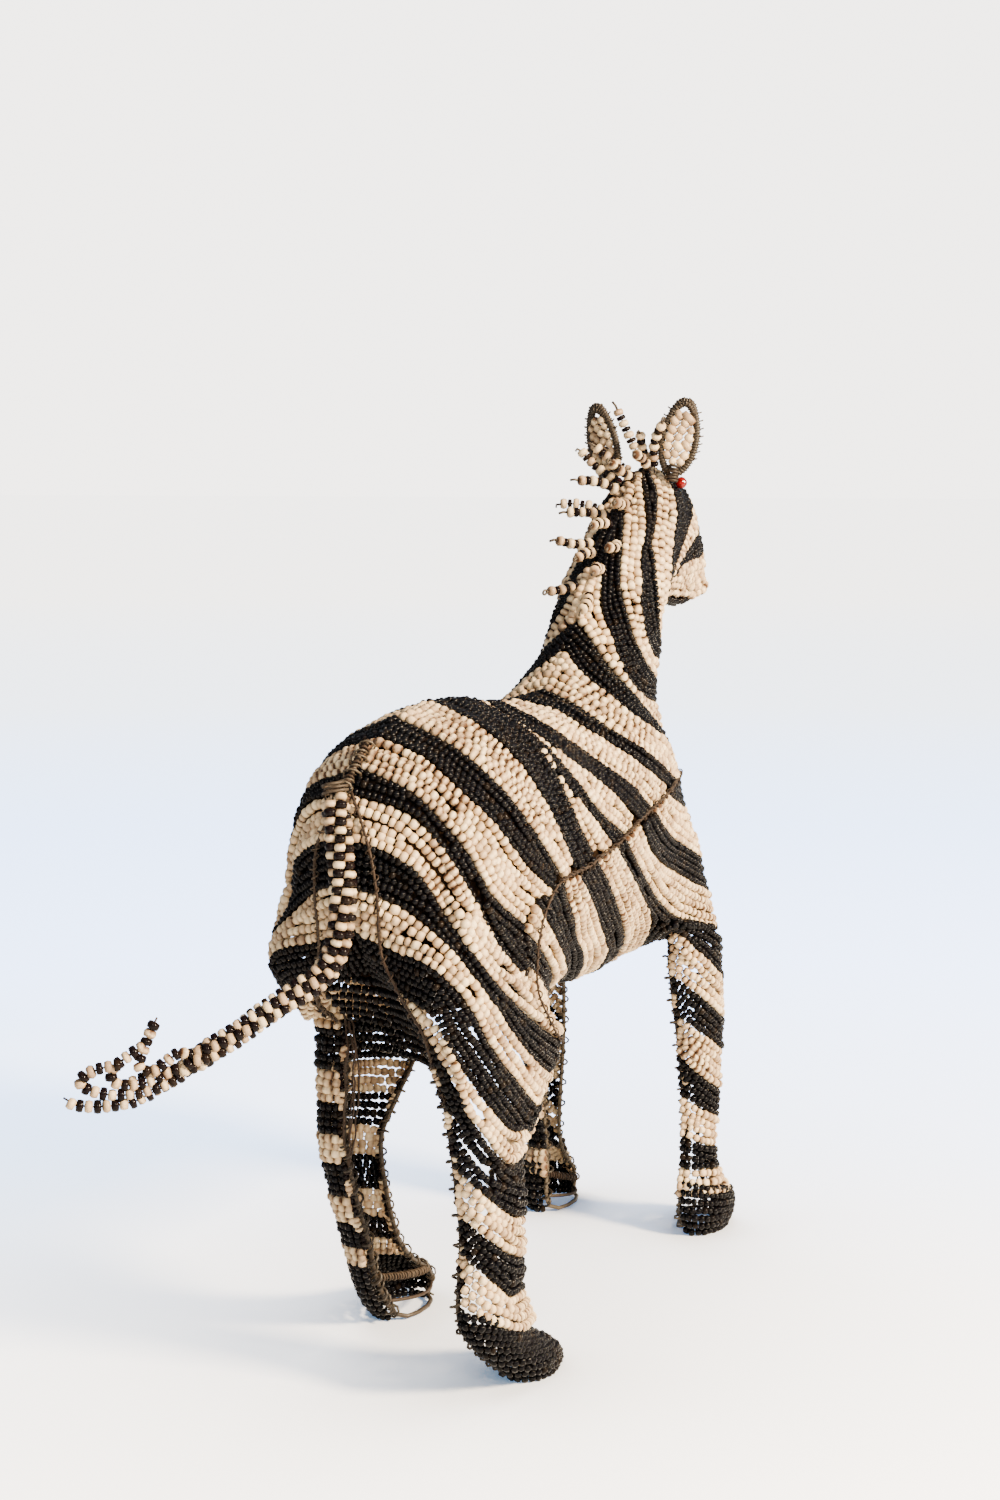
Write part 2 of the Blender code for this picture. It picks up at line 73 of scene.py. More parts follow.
# Legs from the ground up: up, along, half length, across, half width
legTables = {
    "hind_right": [
        (0, -56, 10.5, 31, 7.5), (5, -59, 15.5, 30.5, 9.5), (12, -67, 19, 29.5, 9.5),
        (20, -76, 17.5, 28.5, 9), (30, -78.5, 14, 28, 8.5), (45, -77.5, 12.5, 27.5, 8.5),
        (67, -79, 15, 27.5, 9.5), (80, -76, 23, 27.5, 10.5), (88, -74, 30, 27, 11.5),
        (101, -70, 37, 26.5, 12.5), (115, -71, 37.5, 26, 12.8), (132, -74, 30, 24.5, 11),
    ],
    "hind_left": [
        (0, -31, 11.5, 28, 8), (5, -32, 17, 28, 9), (12, -37, 19, 27, 9), (20, -46, 15.5, 26, 8.5),
        (30, -54, 12, 25, 8.5), (45, -62, 12, 24, 8.5), (67, -67.5, 14, 24, 8.5), (80, -60, 20.5, 25, 10),
        (88, -56, 25, 25, 10.8), (101, -53, 28.5, 25, 11.5), (115, -60, 31, 25, 12),
        (132, -70, 28, 24, 11),
    ],
    "fore_right": [
        (0, 87, 12.5, 29, 8), (6, 86, 15.5, 29.5, 9.5), (14, 86, 14.5, 29.5, 9.5),
        (21, 83.5, 10.5, 29.5, 7.2), (30, 81, 9, 29.5, 6.4), (47, 80.5, 10.3, 29.5, 6.8),
        (65, 79.5, 12.8, 29.5, 8), (84, 76.5, 15.6, 29.5, 9), (105, 73, 18, 29.5, 9.5),
        (120, 70, 20, 28, 9.5), (138, 66, 18, 25.5, 8.5),
    ],
}
legTables["fore_left"] = [(up, along - 2, a, across + 1, b)
                          for up, along, a, across, b in legTables["fore_right"]]
legSide = {"hind_right": -1, "hind_left": 1, "fore_right": -1, "fore_left": 1}


# Cubic through the rows of a table, with slopes taken from the rows on either side, at any row number.
def smoothRows(table, at):
    table = np.asarray(table, float)
    at = np.clip(np.asarray(at, float), 0, len(table) - 1)
    low = np.minimum(at.astype(int), len(table) - 2)
    t = (at - low)[..., None]
    before, here = table[np.maximum(low - 1, 0)], table[low]
    after, beyond = table[low + 1], table[np.minimum(low + 2, len(table) - 1)]
    bend = (2 * before - 5 * here + 4 * after - beyond) * t**2
    return 0.5 * (2 * here + (after - before) * t + bend + (3 * here - before - 3 * after + beyond) * t**3)


# Point of the body: side point plus cosine of the turn times the way to the back or to the underside.
def bodyPoint(ring, turn):
    backU, backZ, sideU, half, sideZ, underU, underZ = np.moveaxis(smoothRows(bodyRings, ring), -1, 0)
    lift = np.cos(turn)
    up, down = np.maximum(lift, 0), np.maximum(-lift, 0)
    along = sideU + (backU - sideU) * up + (underU - sideU) * down
    height = sideZ + (backZ - sideZ) * up + (underZ - sideZ) * down
    return np.stack([along, half * np.sin(turn), height], -1)


# Ring that a row has reached: its side ring, plus its lead at the back by (1 - sine) to a power, or at the
# belly by the cosine.
def rowRing(row, turn):
    back = np.interp(row, rowAtSide, rowAtBack)
    belly = np.interp(row, rowAtSide, rowAtBelly)
    sweep = np.interp(row, [3.6, 5.5], [2.4, 1.1])
    above = (1 - np.sin(np.minimum(turn, math.pi / 2))) ** sweep
    return row + (back - row) * above + (belly - row) * np.maximum(-np.cos(turn), 0)


# Along, half length, across and half width of a leg at a height.
def legLevel(leg, up):
    table = np.asarray(legTables[leg], float)
    spot = np.interp(up, table[:, 0], np.arange(len(table)))
    return np.moveaxis(smoothRows(table, spot)[..., 1:], -1, 0)


# Length run along a polyline at each of its points.
def runAlong(points):
    return np.concatenate([[0], np.cumsum(np.linalg.norm(np.diff(points, axis=0), axis=1))])


# Points of a polyline at given lengths along it.
def atRun(points, run, at):
    return np.stack([np.interp(at, run, points[:, k]) for k in range(3)], 1)


# Vectors divided by their own length.
def unitWay(vectors):
    return vectors / np.maximum(np.linalg.norm(vectors, axis=-1, keepdims=True), 1e-9)


# Points spread along a polyline by equal length, a set number of them or one per spacing.
def evenly(points, count=None, spacing=None):
    points = np.asarray(points, float)
    run = runAlong(points)
    if count is None:
        count = max(int(run[-1] / spacing) + 1, 2)
    return atRun(points, run, np.linspace(0, run[-1], count))


# The cubic through a few points, as a set number of points at equal lengths.
def smoothLine(points, count=60):
    return evenly(smoothRows(points, np.linspace(0, len(points) - 1, 8 * len(points))), count)


# Radius and half length of a bead. Each piece gathers its strings in a store and later becomes one mesh
beadSizes = {"cream": (1.42, 1.20), "black": (1.20, 0.92)}
# Shares by which beads vary: length along a string by kind, then radius, half length and axis
beadSpread = {"cream": 0.13, "black": 0.06, "size": 0.06, "half": 0.03, "axis": 0.08}
# Rust of the beads themselves, and how much it varies
beadRust = {"amount": 0.0, "spread": 0.25}
beadStore = {}
wireStore = {}


# Beads at given middles: each size is the kind's size times scale times one plus a normal spread.
def addBeads(piece, centres, axes, kind, scale, stretch):
    radius, half = beadSizes[kind]
    count = len(centres)
    if not count:
        return
    half = half * np.broadcast_to(stretch, count)
    size = scale * (1 + beadSpread["size"] * random.standard_normal(count).clip(-2, 2))
    tone = random.random(count)
    rust = beadRust["amount"] * (1 + beadRust["spread"] * random.standard_normal(count))
    look = np.stack([tone, np.clip(rust, 0, 1), random.random(count)], 1)
    lengths = half * scale * (1 + beadSpread["half"] * random.standard_normal(count))
    beadStore.setdefault(piece, []).append((centres, axes, np.stack([radius * size, lengths], 1), look))


# One string of beads along a path: uneven steps are summed and stretched to end with the path, and an axis is
# the way from half a bead behind to half a bead ahead. keep says where the string is there at all.
def addString(piece, path, kind, scale=1.0, keep=None, loose=0.10, stretch=1.0):
    run = runAlong(path)
    mean = 2.0 * beadSizes[kind][1] * scale * stretch
    uneven = random.standard_normal(int(run[-1] / mean * 1.3) + 4).clip(-2, 2.4)
    ends = np.cumsum(mean * (1 + beadSpread[kind] * uneven))
    count = int((ends < run[-1]).sum())
    if count < 1:
        return
    ends = ends[:count] * (run[-1] / ends[count - 1])
    at = ends - np.diff(ends, prepend=0) / 2
    lengths = np.diff(ends, prepend=0) / mean
    centres = atRun(path, run, at)
    axes = unitWay(atRun(path, run, at + mean / 2) - atRun(path, run, at - mean / 2))
    axes += beadSpread["axis"] * random.standard_normal(axes.shape)
    centres += loose * random.standard_normal(centres.shape)
    if keep is not None:
        stay = np.interp(at, run, keep.astype(float)) > 0.5
        centres, axes, lengths = centres[stay], axes[stay], lengths[stay]
    addBeads(piece, centres, axes, kind, scale, stretch * lengths)


# A round wire along a path; its mesh is made with the other wires of the piece.
def addWire(piece, path, radius, rust=0.0, sides=6):
    wireStore.setdefault(piece, []).append((np.asarray(path, float), radius, rust, sides))


# Middle line of the body, from which its outward side is told
bodyAxis = evenly([(-106, 0, 158), (-70, 0, 150), (20, 0, 150), (50, 0, 170), (62, 0, 200), (85, 0, 238),
                   (143, 0, 224)], 80)


# Outward way at a point: from the nearest point of the body's middle line, or from 6 mm inside a leg's middle.
def outwardFrom(points, leg=None):
    if leg is None:
        gap = points[:, None] - bodyAxis[None]
        return unitWay(gap[np.arange(len(points)), np.argmin((gap**2).sum(2), 1)])
    along, _, across, _ = legLevel(leg, points[:, 2])
    return unitWay(points - np.stack([along, legSide[leg] * (across - 6), points[:, 2]], 1))


# How rows of a kind lie: pitch over bead width, part of a row that is left out, waver and thread rust
rowRules = {"cream": {"pitch": 0.97, "spare": 0.35, "waver": 0.09, "rust": 0.4},
            "black": {"pitch": 0.93, "spare": 0.15, "waver": 0.05, "rust": 1.0}}
threadRadius, threadSpacing = 0.26, 2.6


# Rows between two edge lines. Width over bead size gives how many fit at each point; where the band
# narrows the middle rows stop first, and the rest spread to share the width.
def bandRows(piece, first, last, kind, scale=1.0, legSplit=None, stretch=1.0, floorAt=None):
    rules = rowRules[kind]
    pitch = 2 * beadSizes[kind][0] * scale * rules["pitch"]
    middle = (first + last) / 2
    way = unitWay(np.gradient(middle, axis=0))
    across = last - first
    across -= way * (across * way).sum(1, keepdims=True)
    width = np.linalg.norm(across, axis=1)
    normal = np.cross(way, across / np.maximum(width, 1e-6)[:, None])
    out = outwardFrom(middle)
    if legSplit is not None:
        blend = np.clip((legSplit[1] - middle[:, 2]) / 18, 0, 1)[:, None]
        out = out * (1 - blend) + outwardFrom(middle, legSplit[0]) * blend
    out = unitWay(out)
    normal *= np.sign((normal * out).sum(1, keepdims=True))
    thin = width < 1.5
    normal[thin] = out[thin]
    normal = unitWay(normal + out)
    fit = width / pitch
    rows = max(int(np.ceil(fit.max() - rules["spare"])), 1)
    order = np.array([2 * k if k < rows - 1 - k else 2 * (rows - 1 - k) + 1 for k in range(rows)])
    order = np.argsort(np.argsort(order))
    there = np.clip(fit[None] - order[:, None], 0.02, 1)
    share = (np.cumsum(there, 0) - there / 2) / there.sum(0)
    steps = np.linspace(0, 1, len(first))
    for row in range(rows):
        waver = rules["waver"] / rows * np.sin(steps * random.uniform(5, 11) + random.uniform(0, 6))
        at = (share[row] + waver)[:, None]
        swell = 0.28 * np.sin(steps * random.uniform(3, 8) + random.uniform(0, 6))
        depth = beadSizes[kind][0] * scale - 0.25 + random.uniform(-0.35, 0.35) + swell
        path = first * (1 - at) + last * at - normal * depth[:, None]
        keep = there[row] > (0.4 if order[row] else 0.3)
        if floorAt is not None:
            keep &= path[:, 2] > floorAt
        keep[len(keep) - random.integers(0, 3):] = False
        addString(piece, path, kind, scale=scale, keep=keep, stretch=stretch)
        for part in np.split(path, np.flatnonzero(np.diff(keep.astype(int))) + 1)[0 if keep[0] else 1::2]:
            if len(part) > 5:
                addWire("threads", evenly(part[1:-1], spacing=threadSpacing), threadRadius, rules["rust"], 3)


# Band edges of the right side, from the spine or the rear edge on down: (along, across, up)
edges = {
    "hq11": [(-104, -23, 112), (-103, -25, 103), (-100, -27, 94), (-96, -30, 85), (-91, -34, 76),
             (-80, -36, 67)],
    "hq10": [(-104, -20, 117), (-104, -25, 110), (-102, -28, 101), (-99, -31, 92), (-93, -34, 82),
             (-81, -37, 71)],
    "hq9": [(-95, 0, 124), (-101, -10, 123), (-104, -16, 121), (-105, -25, 116), (-105, -30, 108),
            (-98, -32, 99), (-92, -36, 90), (-79, -37, 80)],
    "hq8": [(-100, 0, 130), (-104, -8, 128), (-105, -14, 126), (-106, -26, 122), (-103, -31, 112),
            (-96, -34, 102), (-87, -37, 91), (-71, -37, 78)],
    "hq7": [(-107, 0, 140), (-109, -5, 138), (-107, -12, 135), (-107, -26, 131), (-100, -33, 121),
            (-92, -36, 108), (-79, -38, 95), (-64, -37, 84)],
    "hq6": [(-111, 0, 152), (-112, -5, 152), (-109, -11, 150), (-104, -20, 144), (-101, -31, 134),
            (-92, -36, 121), (-77, -38, 105), (-57, -37, 92)],
    "hq5": [(-112, 0, 167), (-112, -5, 166), (-109, -11, 164), (-105, -20, 158), (-97, -25, 144),
            (-95, -34, 132), (-81, -38, 118), (-51, -37, 101)],
    "hq4": [(-107, 0, 179), (-103, -17, 174), (-98, -25, 163), (-92, -30, 150), (-85, -34, 136),
            (-70, -37, 122)],
    "hq3": [(-102, 0, 186), (-101, -16, 180), (-96, -23, 171), (-91, -29, 161), (-85, -33, 149),
            (-69, -35, 138)],
    "hq2": [(-92, 0, 193), (-91, -15, 188), (-87, -24, 179), (-80, -31, 169), (-72, -35, 158),
            (-56, -38, 146)],
    "hq1": [(-80, 0, 198), (-79, -16, 191), (-76, -26, 183), (-68, -32, 173), (-60, -36, 162),
            (-49, -38, 149)],
    "u0": [(-61, 0, 200), (-62, -16, 194.5), (-58, -26, 185.5), (-52, -31, 175), (-48.5, -36, 163),
           (-40, -38, 149)],
    "u1": [(-47, 0, 200), (-48, -18, 192), (-48, -27, 183), (-44, -32, 173), (-40, -36, 162),
           (-31, -38, 149)],
    "u2": [(-36, 0, 199), (-36, -17, 191), (-38, -27, 183), (-36, -32, 173), (-33, -36, 162),
           (-25, -38, 151)],
    "u3": [(-36, 0, 199), (-36, -17, 191), (-39, -28, 183), (-35, -31, 176), (-30, -34, 169), (-21, -36, 161),
           (-12, -38, 152)],
    "u4": [(-28, 0, 197), (-33, -22, 187), (-31, -29, 180), (-25, -33, 172), (-17, -36, 163), (-2, -37, 155)],
    "u5": [(-24, 0, 197), (-30, -22, 187), (-25, -28, 181), (-15, -32, 174), (-6, -36, 167), (8, -37, 158)],
    "u6": [(-15, 0, 196), (-17, -17, 190), (-12, -24, 184), (-4, -30, 177), (6, -35, 170), (21, -36, 160)],
    "u7": [(1, 0, 195), (2, -10, 193), (3, -19, 188), (11, -27, 181), (22, -33, 173), (42, -34, 163)],
    "u8": [(14, 0, 197), (13, -9, 194), (13, -14, 192), (16, -24, 185), (28, -31, 177), (47, -33, 166)],
    "u9": [(30, 0, 209), (26, -8, 202), (28, -16, 196), (33, -24, 188), (50, -28, 179), (69, -23, 170),
           (79, -20, 165), (86, -16, 163.5), (92, -10, 162), (96, 0, 161)],
    "u10": [(37, 0, 218), (35, -8, 211), (36, -13, 204), (40, -19, 196), (50, -21, 188), (66, -20, 180),
            (75.5, -16, 178.5), (82, -11, 177), (86, 0, 175.5)],
    "n1": [(54, 0, 237), (48, 0, 231), (42, 0, 224), (38, 0, 219), (37, -4, 215), (37, -10, 207),
           (39, -16, 200), (44, -19, 194), (52, -21, 187), (66, -20, 180), (75.5, -16, 178.5), (82, -11, 177),
           (86, 0, 175.5)],
    "n2": [(73, 0, 255), (67, 0, 250), (62, 0, 245), (55, -2, 237), (48, -5, 229), (44, -7, 222),
           (42, -11, 215), (42, -14, 207), (44, -18, 198), (53, -19, 192), (63, -18, 190), (70.5, -16, 188.5),
           (77, -12, 187.5), (82.5, 0, 186.5)],
    "n3": [(80, 0, 260), (76, -1, 257), (69, -4, 250), (64, -6, 245), (58, -8, 237), (53, -10, 229),
           (51, -13, 222), (52, -15, 214), (56, -17, 206), (62, -17.5, 201), (70, -16, 197), (77, -12, 195),
           (82.5, 0, 193.5)],
    "n4": [(92, 0, 268), (80, -7, 257), (75, -10, 250), (70, -11, 244), (65, -12, 237), (61, -14, 231),
           (58, -15, 224), (59, -16, 217), (61, -17, 210), (66, -16.5, 206), (72.5, -16, 203),
           (79, -12, 201.5), (83.5, 0, 200.5)],
    "n5": [(97, 0, 269), (87, -9, 261), (79, -12, 250), (74, -13, 244), (72, -15, 237), (71, -16, 230),
           (71.5, -16.5, 223), (73, -16, 215), (76, -15, 210), (81, -12, 208), (85.5, 0, 206.5)],
    "n6": [(104, 0, 269), (98, -9, 264), (93, -14, 254), (86, -15, 242), (84, -15, 230), (86, -11, 221),
           (91, 0, 218)],
    "l0": [(-57, -38, 146), (-50, -37, 140), (-45, -36, 134), (-36, -33, 127), (-22, -28, 118),
           (-2, -16, 106), (10, 0, 102)],
    "l1": [(-48, -38, 147), (-41, -36, 140), (-36, -36, 133), (-27, -32, 125), (-14, -28, 116), (4, -16, 105),
           (16, 0, 101)],
    "l2": [(-38, -38, 147), (-28, -37, 139), (-16, -34, 130), (-4, -31, 121), (8, -26, 113), (20, -15, 104),
           (30, 0, 101)],
    "l3": [(-25, -38, 150), (-15, -37, 142), (-4, -35, 133), (8, -32, 124), (20, -27, 115), (34, -15, 105),
           (44, 0, 101)],
    "l4": [(-11, -38, 152), (-1, -37, 145), (9, -36, 137), (22, -33, 129), (36, -29, 119), (50, -18, 107),
           (60, 0, 101)],
    "l5": [(-3, -38, 153), (8, -37, 144), (24, -34, 134), (42, -31, 124), (56, -33, 116), (72, -39, 111),
           (86, -31, 108.5), (94, -20, 110), (98, -12, 110.5), (102, 0, 110.5)],
    "l6": [(11, -37, 156), (17, -37, 148), (32, -35, 140), (48, -34, 134), (62, -35, 128), (76, -34, 123),
           (84, -28, 121), (90, -20, 119.5), (95, -16, 119), (99, -12, 118.5), (101.5, -8, 118),
           (103.3, 0, 118)],
    "l7": [(22, -37, 158), (32, -36, 152), (45, -34, 146), (58, -34, 141), (70, -34, 136), (82, -27, 132),
           (91, -20, 131.5), (96, -16, 131), (100, -12, 131), (103, -8, 130.8), (104.4, 0, 130.5)],
    "l8": [(36, -36, 162), (48, -34, 158), (60, -31.5, 154.5), (73, -26, 152.5), (85.5, -20, 151.5),
           (92, -16, 151), (97, -12, 150.5), (100, -8, 150.5), (102, 0, 150)],
    "l9": [(47, -33, 166), (56, -30, 164), (66.5, -26, 162.5), (80, -20, 161.5), (87.5, -16, 161),
           (92, -12, 160.5), (95, -8, 160), (97, 0, 160)],
    "k0": [(-66, -38, 144), (-57, -37, 137), (-49, -36, 130), (-36, -32, 122), (-20, -24, 112), (0, 0, 103)],
    "k1": [(-69, -36, 136), (-60, -35, 130), (-47, -32, 122), (-34, -27, 114), (-20, -16, 106), (-8, 0, 103)],
    "k2": [(-68, -36, 126), (-58, -34, 120), (-47, -31, 113), (-36, -25, 107), (-28, -14, 104),
           (-20, 0, 103)],
    "k3": [(-65, -37, 117), (-57, -36, 112), (-50, -34, 106), (-44, -33, 100)],
    "h0": [(-94, -24, 83), (-93, -29, 76), (-88, -34, 69), (-77, -37, 63), (-67, -35, 60)],
    "h1": [(-93, -24, 71), (-92, -31, 66), (-87, -34, 61), (-76, -36, 54), (-66, -34, 51)],
    "h2": [(-90, -24, 57), (-90, -30, 53), (-85, -34, 48), (-76, -36, 42), (-66, -34, 39)],
    "h3": [(-90, -25, 45), (-90, -31, 41), (-86, -34, 37), (-79, -36, 31), (-67, -34, 29)],
    "h4": [(-92, -26, 31), (-91, -33, 27), (-86, -36, 24), (-77, -38, 20), (-65, -36, 18)],
    "fTop": [(48, -28, 121), (56, -33, 118), (66, -37, 114), (78, -38, 108), (90, -32, 104)],
    "f0": [(56, -27, 114), (57, -33, 110), (66, -37, 102), (78, -38, 94), (89, -34, 88)],
    "f1": [(60, -26, 96), (62, -32, 92), (69, -37, 86), (80, -38, 79), (90, -34, 75)],
    "f2": [(65, -27, 81), (66, -33, 77), (72, -36, 73), (82, -37, 67), (90, -34, 64)],
    "f3": [(67, -26, 67), (68, -30, 63), (73, -34, 58), (81, -36, 53), (89, -34, 50)],
    "f4": [(70, -26, 51), (71, -30, 49), (75, -34, 46), (82, -36, 42), (88, -33, 40)],
    "f5": [(71, -26, 36), (72, -30, 35), (76, -34, 33), (82, -35, 31), (88, -32, 30)],
    "f6": [(72, -25, 25), (73, -30, 24), (77, -35, 24), (83, -36, 23), (89, -33, 22)],
    "f7": [(71, -24, 14), (73, -33, 15), (78, -38, 15), (88, -39, 14), (97, -34, 13)],
}
edges["u8b"] = edges["u8"] + [(60, -29, 164), (72, -24, 163), (80, -20, 162.5), (87, -16, 162),
                              (92, -12, 161.3), (97, 0, 160.5)]
edges["n1b"] = edges["n2"][3:]


# Bands from each named edge to the next, c for cream and b for black.
def chain(names, kinds):
    names = names.split()
    return [(a, b, {"c": "cream", "b": "black"}[kind]) for a, b, kind in zip(names, names[1:], kinds)]


hindBands = chain("h4 h3 h2 h1 h0 hq11 hq10 hq9 hq8 hq7 hq6 hq5 hq4 hq3 hq2 hq1 u0", "cbcbbbcbbcbcbcbc")
barrelBands = (chain("u0 u1 u2 u3 u4 u5 u6 u7 u8", "bbcbcbcb")
               + chain("k3 k2 k1 k0 l0 l1 l2 l3 l4 l5 l6 l7 l8 l9", "cbcbbcbcbcbcb"))
neckBands = chain("u8b u9 u10", "cb") + chain("n1 n1b", "c") + chain("n2 n3 n4 n5 n6", "bcbc")
foreBands = chain("fTop f0 f1 f2 f3 f4 f5 f6 f7", "bcbcbcbc")


# The same points on the animal's left: mirrored, and below the belly moved onto the left leg of the pair.
def toLeft(points, pair):
    points = np.asarray(points, float).copy()
    share = np.clip((128 - points[:, 2]) / 22, 0, 1)
    alongR, longR, acrossR, wideR = legLevel(pair + "_right", points[:, 2])
    alongL, longL, acrossL, wideL = legLevel(pair + "_left", points[:, 2])
    along = alongL + (points[:, 0] - alongR) / longR * longL
    across = acrossL + (-points[:, 1] - acrossR) / wideR * wideL
    points[:, 0] += (along - points[:, 0]) * share
    points[:, 1] = -points[:, 1] * (1 - share) + across * share
    return points


# Turns round the front of a leg that a band edge runs on through, each with the height lost by then
legTurns = ((36, 0.4), (62, 1.2), (88, 3.5), (110, 5.0))


# Band edges run on round the front of a leg: the last point's height, falling as the rows do.
def roundLeg(line, leg):
    line = np.asarray(line, float)
    last = line[-1]
    extra = []
    along, halfLong, across, halfWide = legLevel(leg, last[2])
    reached = math.degrees(math.atan2((last[0] - along) / halfLong, (-last[1] - across) / halfWide))
    for turn, drop in legTurns:
        up = max(last[2] - drop, 6)
        along, halfLong, across, halfWide = legLevel(leg, up)
        front = along + (halfLong - 0.2) * math.sin(math.radians(turn))
        if turn > reached + 9:
            extra.append((front, -(across + (halfWide - 0.2) * math.cos(math.radians(turn))), up))
    return np.vstack([line, extra]) if extra else line


legEdges = {f"h{k}": "hind" for k in range(5)} | {f"hq{k}": "hind" for k in range(5, 12)}
legEdges |= {f"f{k}": "fore" for k in list(range(8)) + ["Top"]}


# A named edge as a smooth line on one side; an edge of a leg is first run on round that leg.
def edgeLine(name, side, pair):
    line = edges[name]
    if name in legEdges:
        line = roundLeg(line, legEdges[name] + "_right")
    line = smoothLine(line)
    if side == "right":
        return line
    return toLeft(line, pair) if pair else line * (1, -1, 1)


# Area, its bands, the leg pair it runs onto, and the scale of its cream and its black beads
areas = [("hindquarter", hindBands, "hind", 1.0, 1.04), ("barrel", barrelBands, None, 1.0, 1.0),
         ("neck", neckBands, None, 1.08, 1.0), ("foreleg", foreBands, "fore", 1.0, 1.15)]
# Height under which rows follow the leg, the left thigh's lowest row, and sizes of shank and neck beads
bandRules = {"legFrom": 122, "leftThighFloor": 108.0, "shankBlack": 1.15, "neckStretch": 1.1}
for side in ("right", "left"):
    for area, bands, pair, creamScale, blackScale in areas:
        for first, last, kind in bands:
            scale = creamScale if kind == "cream" else blackScale
            if first in ("h0", "h1", "h2", "h3", "h4") and kind == "black":
                scale = bandRules["shankBlack"]
            bandRows(
                f"{area}_{kind}_{side}", edgeLine(first, side, pair), edgeLine(last, side, pair), kind,
                scale=scale, legSplit=(pair + "_" + side, bandRules["legFrom"]) if pair else None,
                stretch=bandRules["neckStretch"] if area == "neck" and kind == "cream" else 1.0,
                floorAt=bandRules["leftThighFloor"] if (area, side) == ("hindquarter", "left") else None,
            )
print("bands laid")

# Head: slanted bands, each edge a line of (ring, turn) from brow to jaw; the chin has a band of its own
headEdges = {
    "brow": [(11.0, 0.05), (11.0, 0.7), (10.85, 1.2), (10.3, 1.6), (9.75, 1.8), (9.3, 2.1), (9.05, 2.6),
             (8.95, 3.1)],
    "cheek": [(11.4, 0.05), (11.4, 0.7), (11.3, 1.35), (10.7, 1.75), (10.0, 1.95), (9.5, 2.2), (9.25, 2.5),
              (9.15, 2.75)],
    "jaw": [(12.0, 0.05), (12.0, 0.8), (11.85, 1.5), (11.0, 1.95), (10.2, 2.12), (9.75, 2.3), (9.5, 2.55),
            (9.4, 2.75)],
    "nose": [(13.0, 0.05), (13.0, 0.8), (13.0, 1.5), (13.0, 2.0), (12.8, 2.4), (12.6, 2.75)],
    "chin": [(9.15, 2.78), (10.0, 2.78), (11.0, 2.78), (12.0, 2.78), (12.9, 2.75)],
    "throat": [(9.05, 3.12), (10.0, 3.12), (11.0, 3.12), (12.0, 3.12), (12.9, 3.1)],
}
headBands = chain("n6 brow cheek jaw nose", "bcbc") + chain("chin throat", "b")
# Rows along the crest: first ring, last ring, kind, turn from the top
crestRows = [(7.0, 7.9, "cream", 0.08), (7.8, 8.9, "black", 0.08)]


# An edge of the neck or the head on one side: head edges are read off the body's surface.
def headLine(name, sign):
    if name in edges:
        return edgeLine(name, "left" if sign > 0 else "right", None)
    rings, turns = np.array(headEdges[name]).T
    return smoothLine(bodyPoint(rings, turns) * (1, sign, 1))


headSizes = {"scale": 1.05, "muzzleScale": 1.18, "muzzleStretch": 1.2, "crestSink": 0.8}
for side, sign in (("right", -1), ("left", 1)):
    for first, last, kind in headBands:
        muzzle = last == "nose"
        bandRows(f"neck_{kind}_{side}", headLine(first, sign), headLine(last, sign), kind,
                 scale=headSizes["muzzleScale"] if muzzle else headSizes["scale"],
                 stretch=headSizes["muzzleStretch"] if muzzle else 1.0)
    for start, end, kind, turn in crestRows:
        path = smoothLine(bodyPoint(np.linspace(start, end, 12), np.full(12, turn)) * (1, sign, 1))
        path = path - (0, 0, headSizes["crestSink"])
        addString(f"neck_{kind}_{side}", path, kind, scale=headSizes["scale"])

# Hooves: black rows round the open shell up to a top height, with a fall of the rows for each leg
hoof = {"tops": {"hind_right": 22.0, "hind_left": 22.0, "fore_right": 15.0, "fore_left": 15.0},
        "low": 1.15, "floor": 1.12, "scale": 1.14, "thread": 0.3}
legFall = {"hind_right": 0.42, "hind_left": 0.16, "fore_right": 0.42, "fore_left": 0.42}
legSweep = math.radians(112)


# A leg's open-sided wall: along is half length times sine, across half width times cosine, rows fall forward.
def legArc(leg, level, arc, deeper=0.0):
    along, halfLong, across, halfWide = legLevel(leg, level)
    fall = legFall[leg] * np.clip(level / 24, 0, 1)
    return np.stack([
        along + (halfLong - deeper) * np.sin(arc),
        legSide[leg] * (across + (halfWide - deeper) * np.cos(arc)),
        level - fall * halfLong * np.sin(arc),
    ], -1)


for leg, top in hoof["tops"].items():
    count = int(top / (2 * beadSizes["black"][0] * rowRules["black"]["pitch"])) + 1
    arc = np.linspace(-legSweep, legSweep, 48)
    for row in range(count):
        level = hoof["low"] + row * (top - hoof["low"]) / (count - 1)
        path = legArc(leg, np.full(len(arc), level), arc, 1.0)
        path[:, 2] = np.maximum(path[:, 2], hoof["floor"])
        addString("hooves_black", path, "black", scale=hoof["scale"])
        addWire("threads", evenly(path, spacing=2.2), hoof["thread"], 0.6, 3)
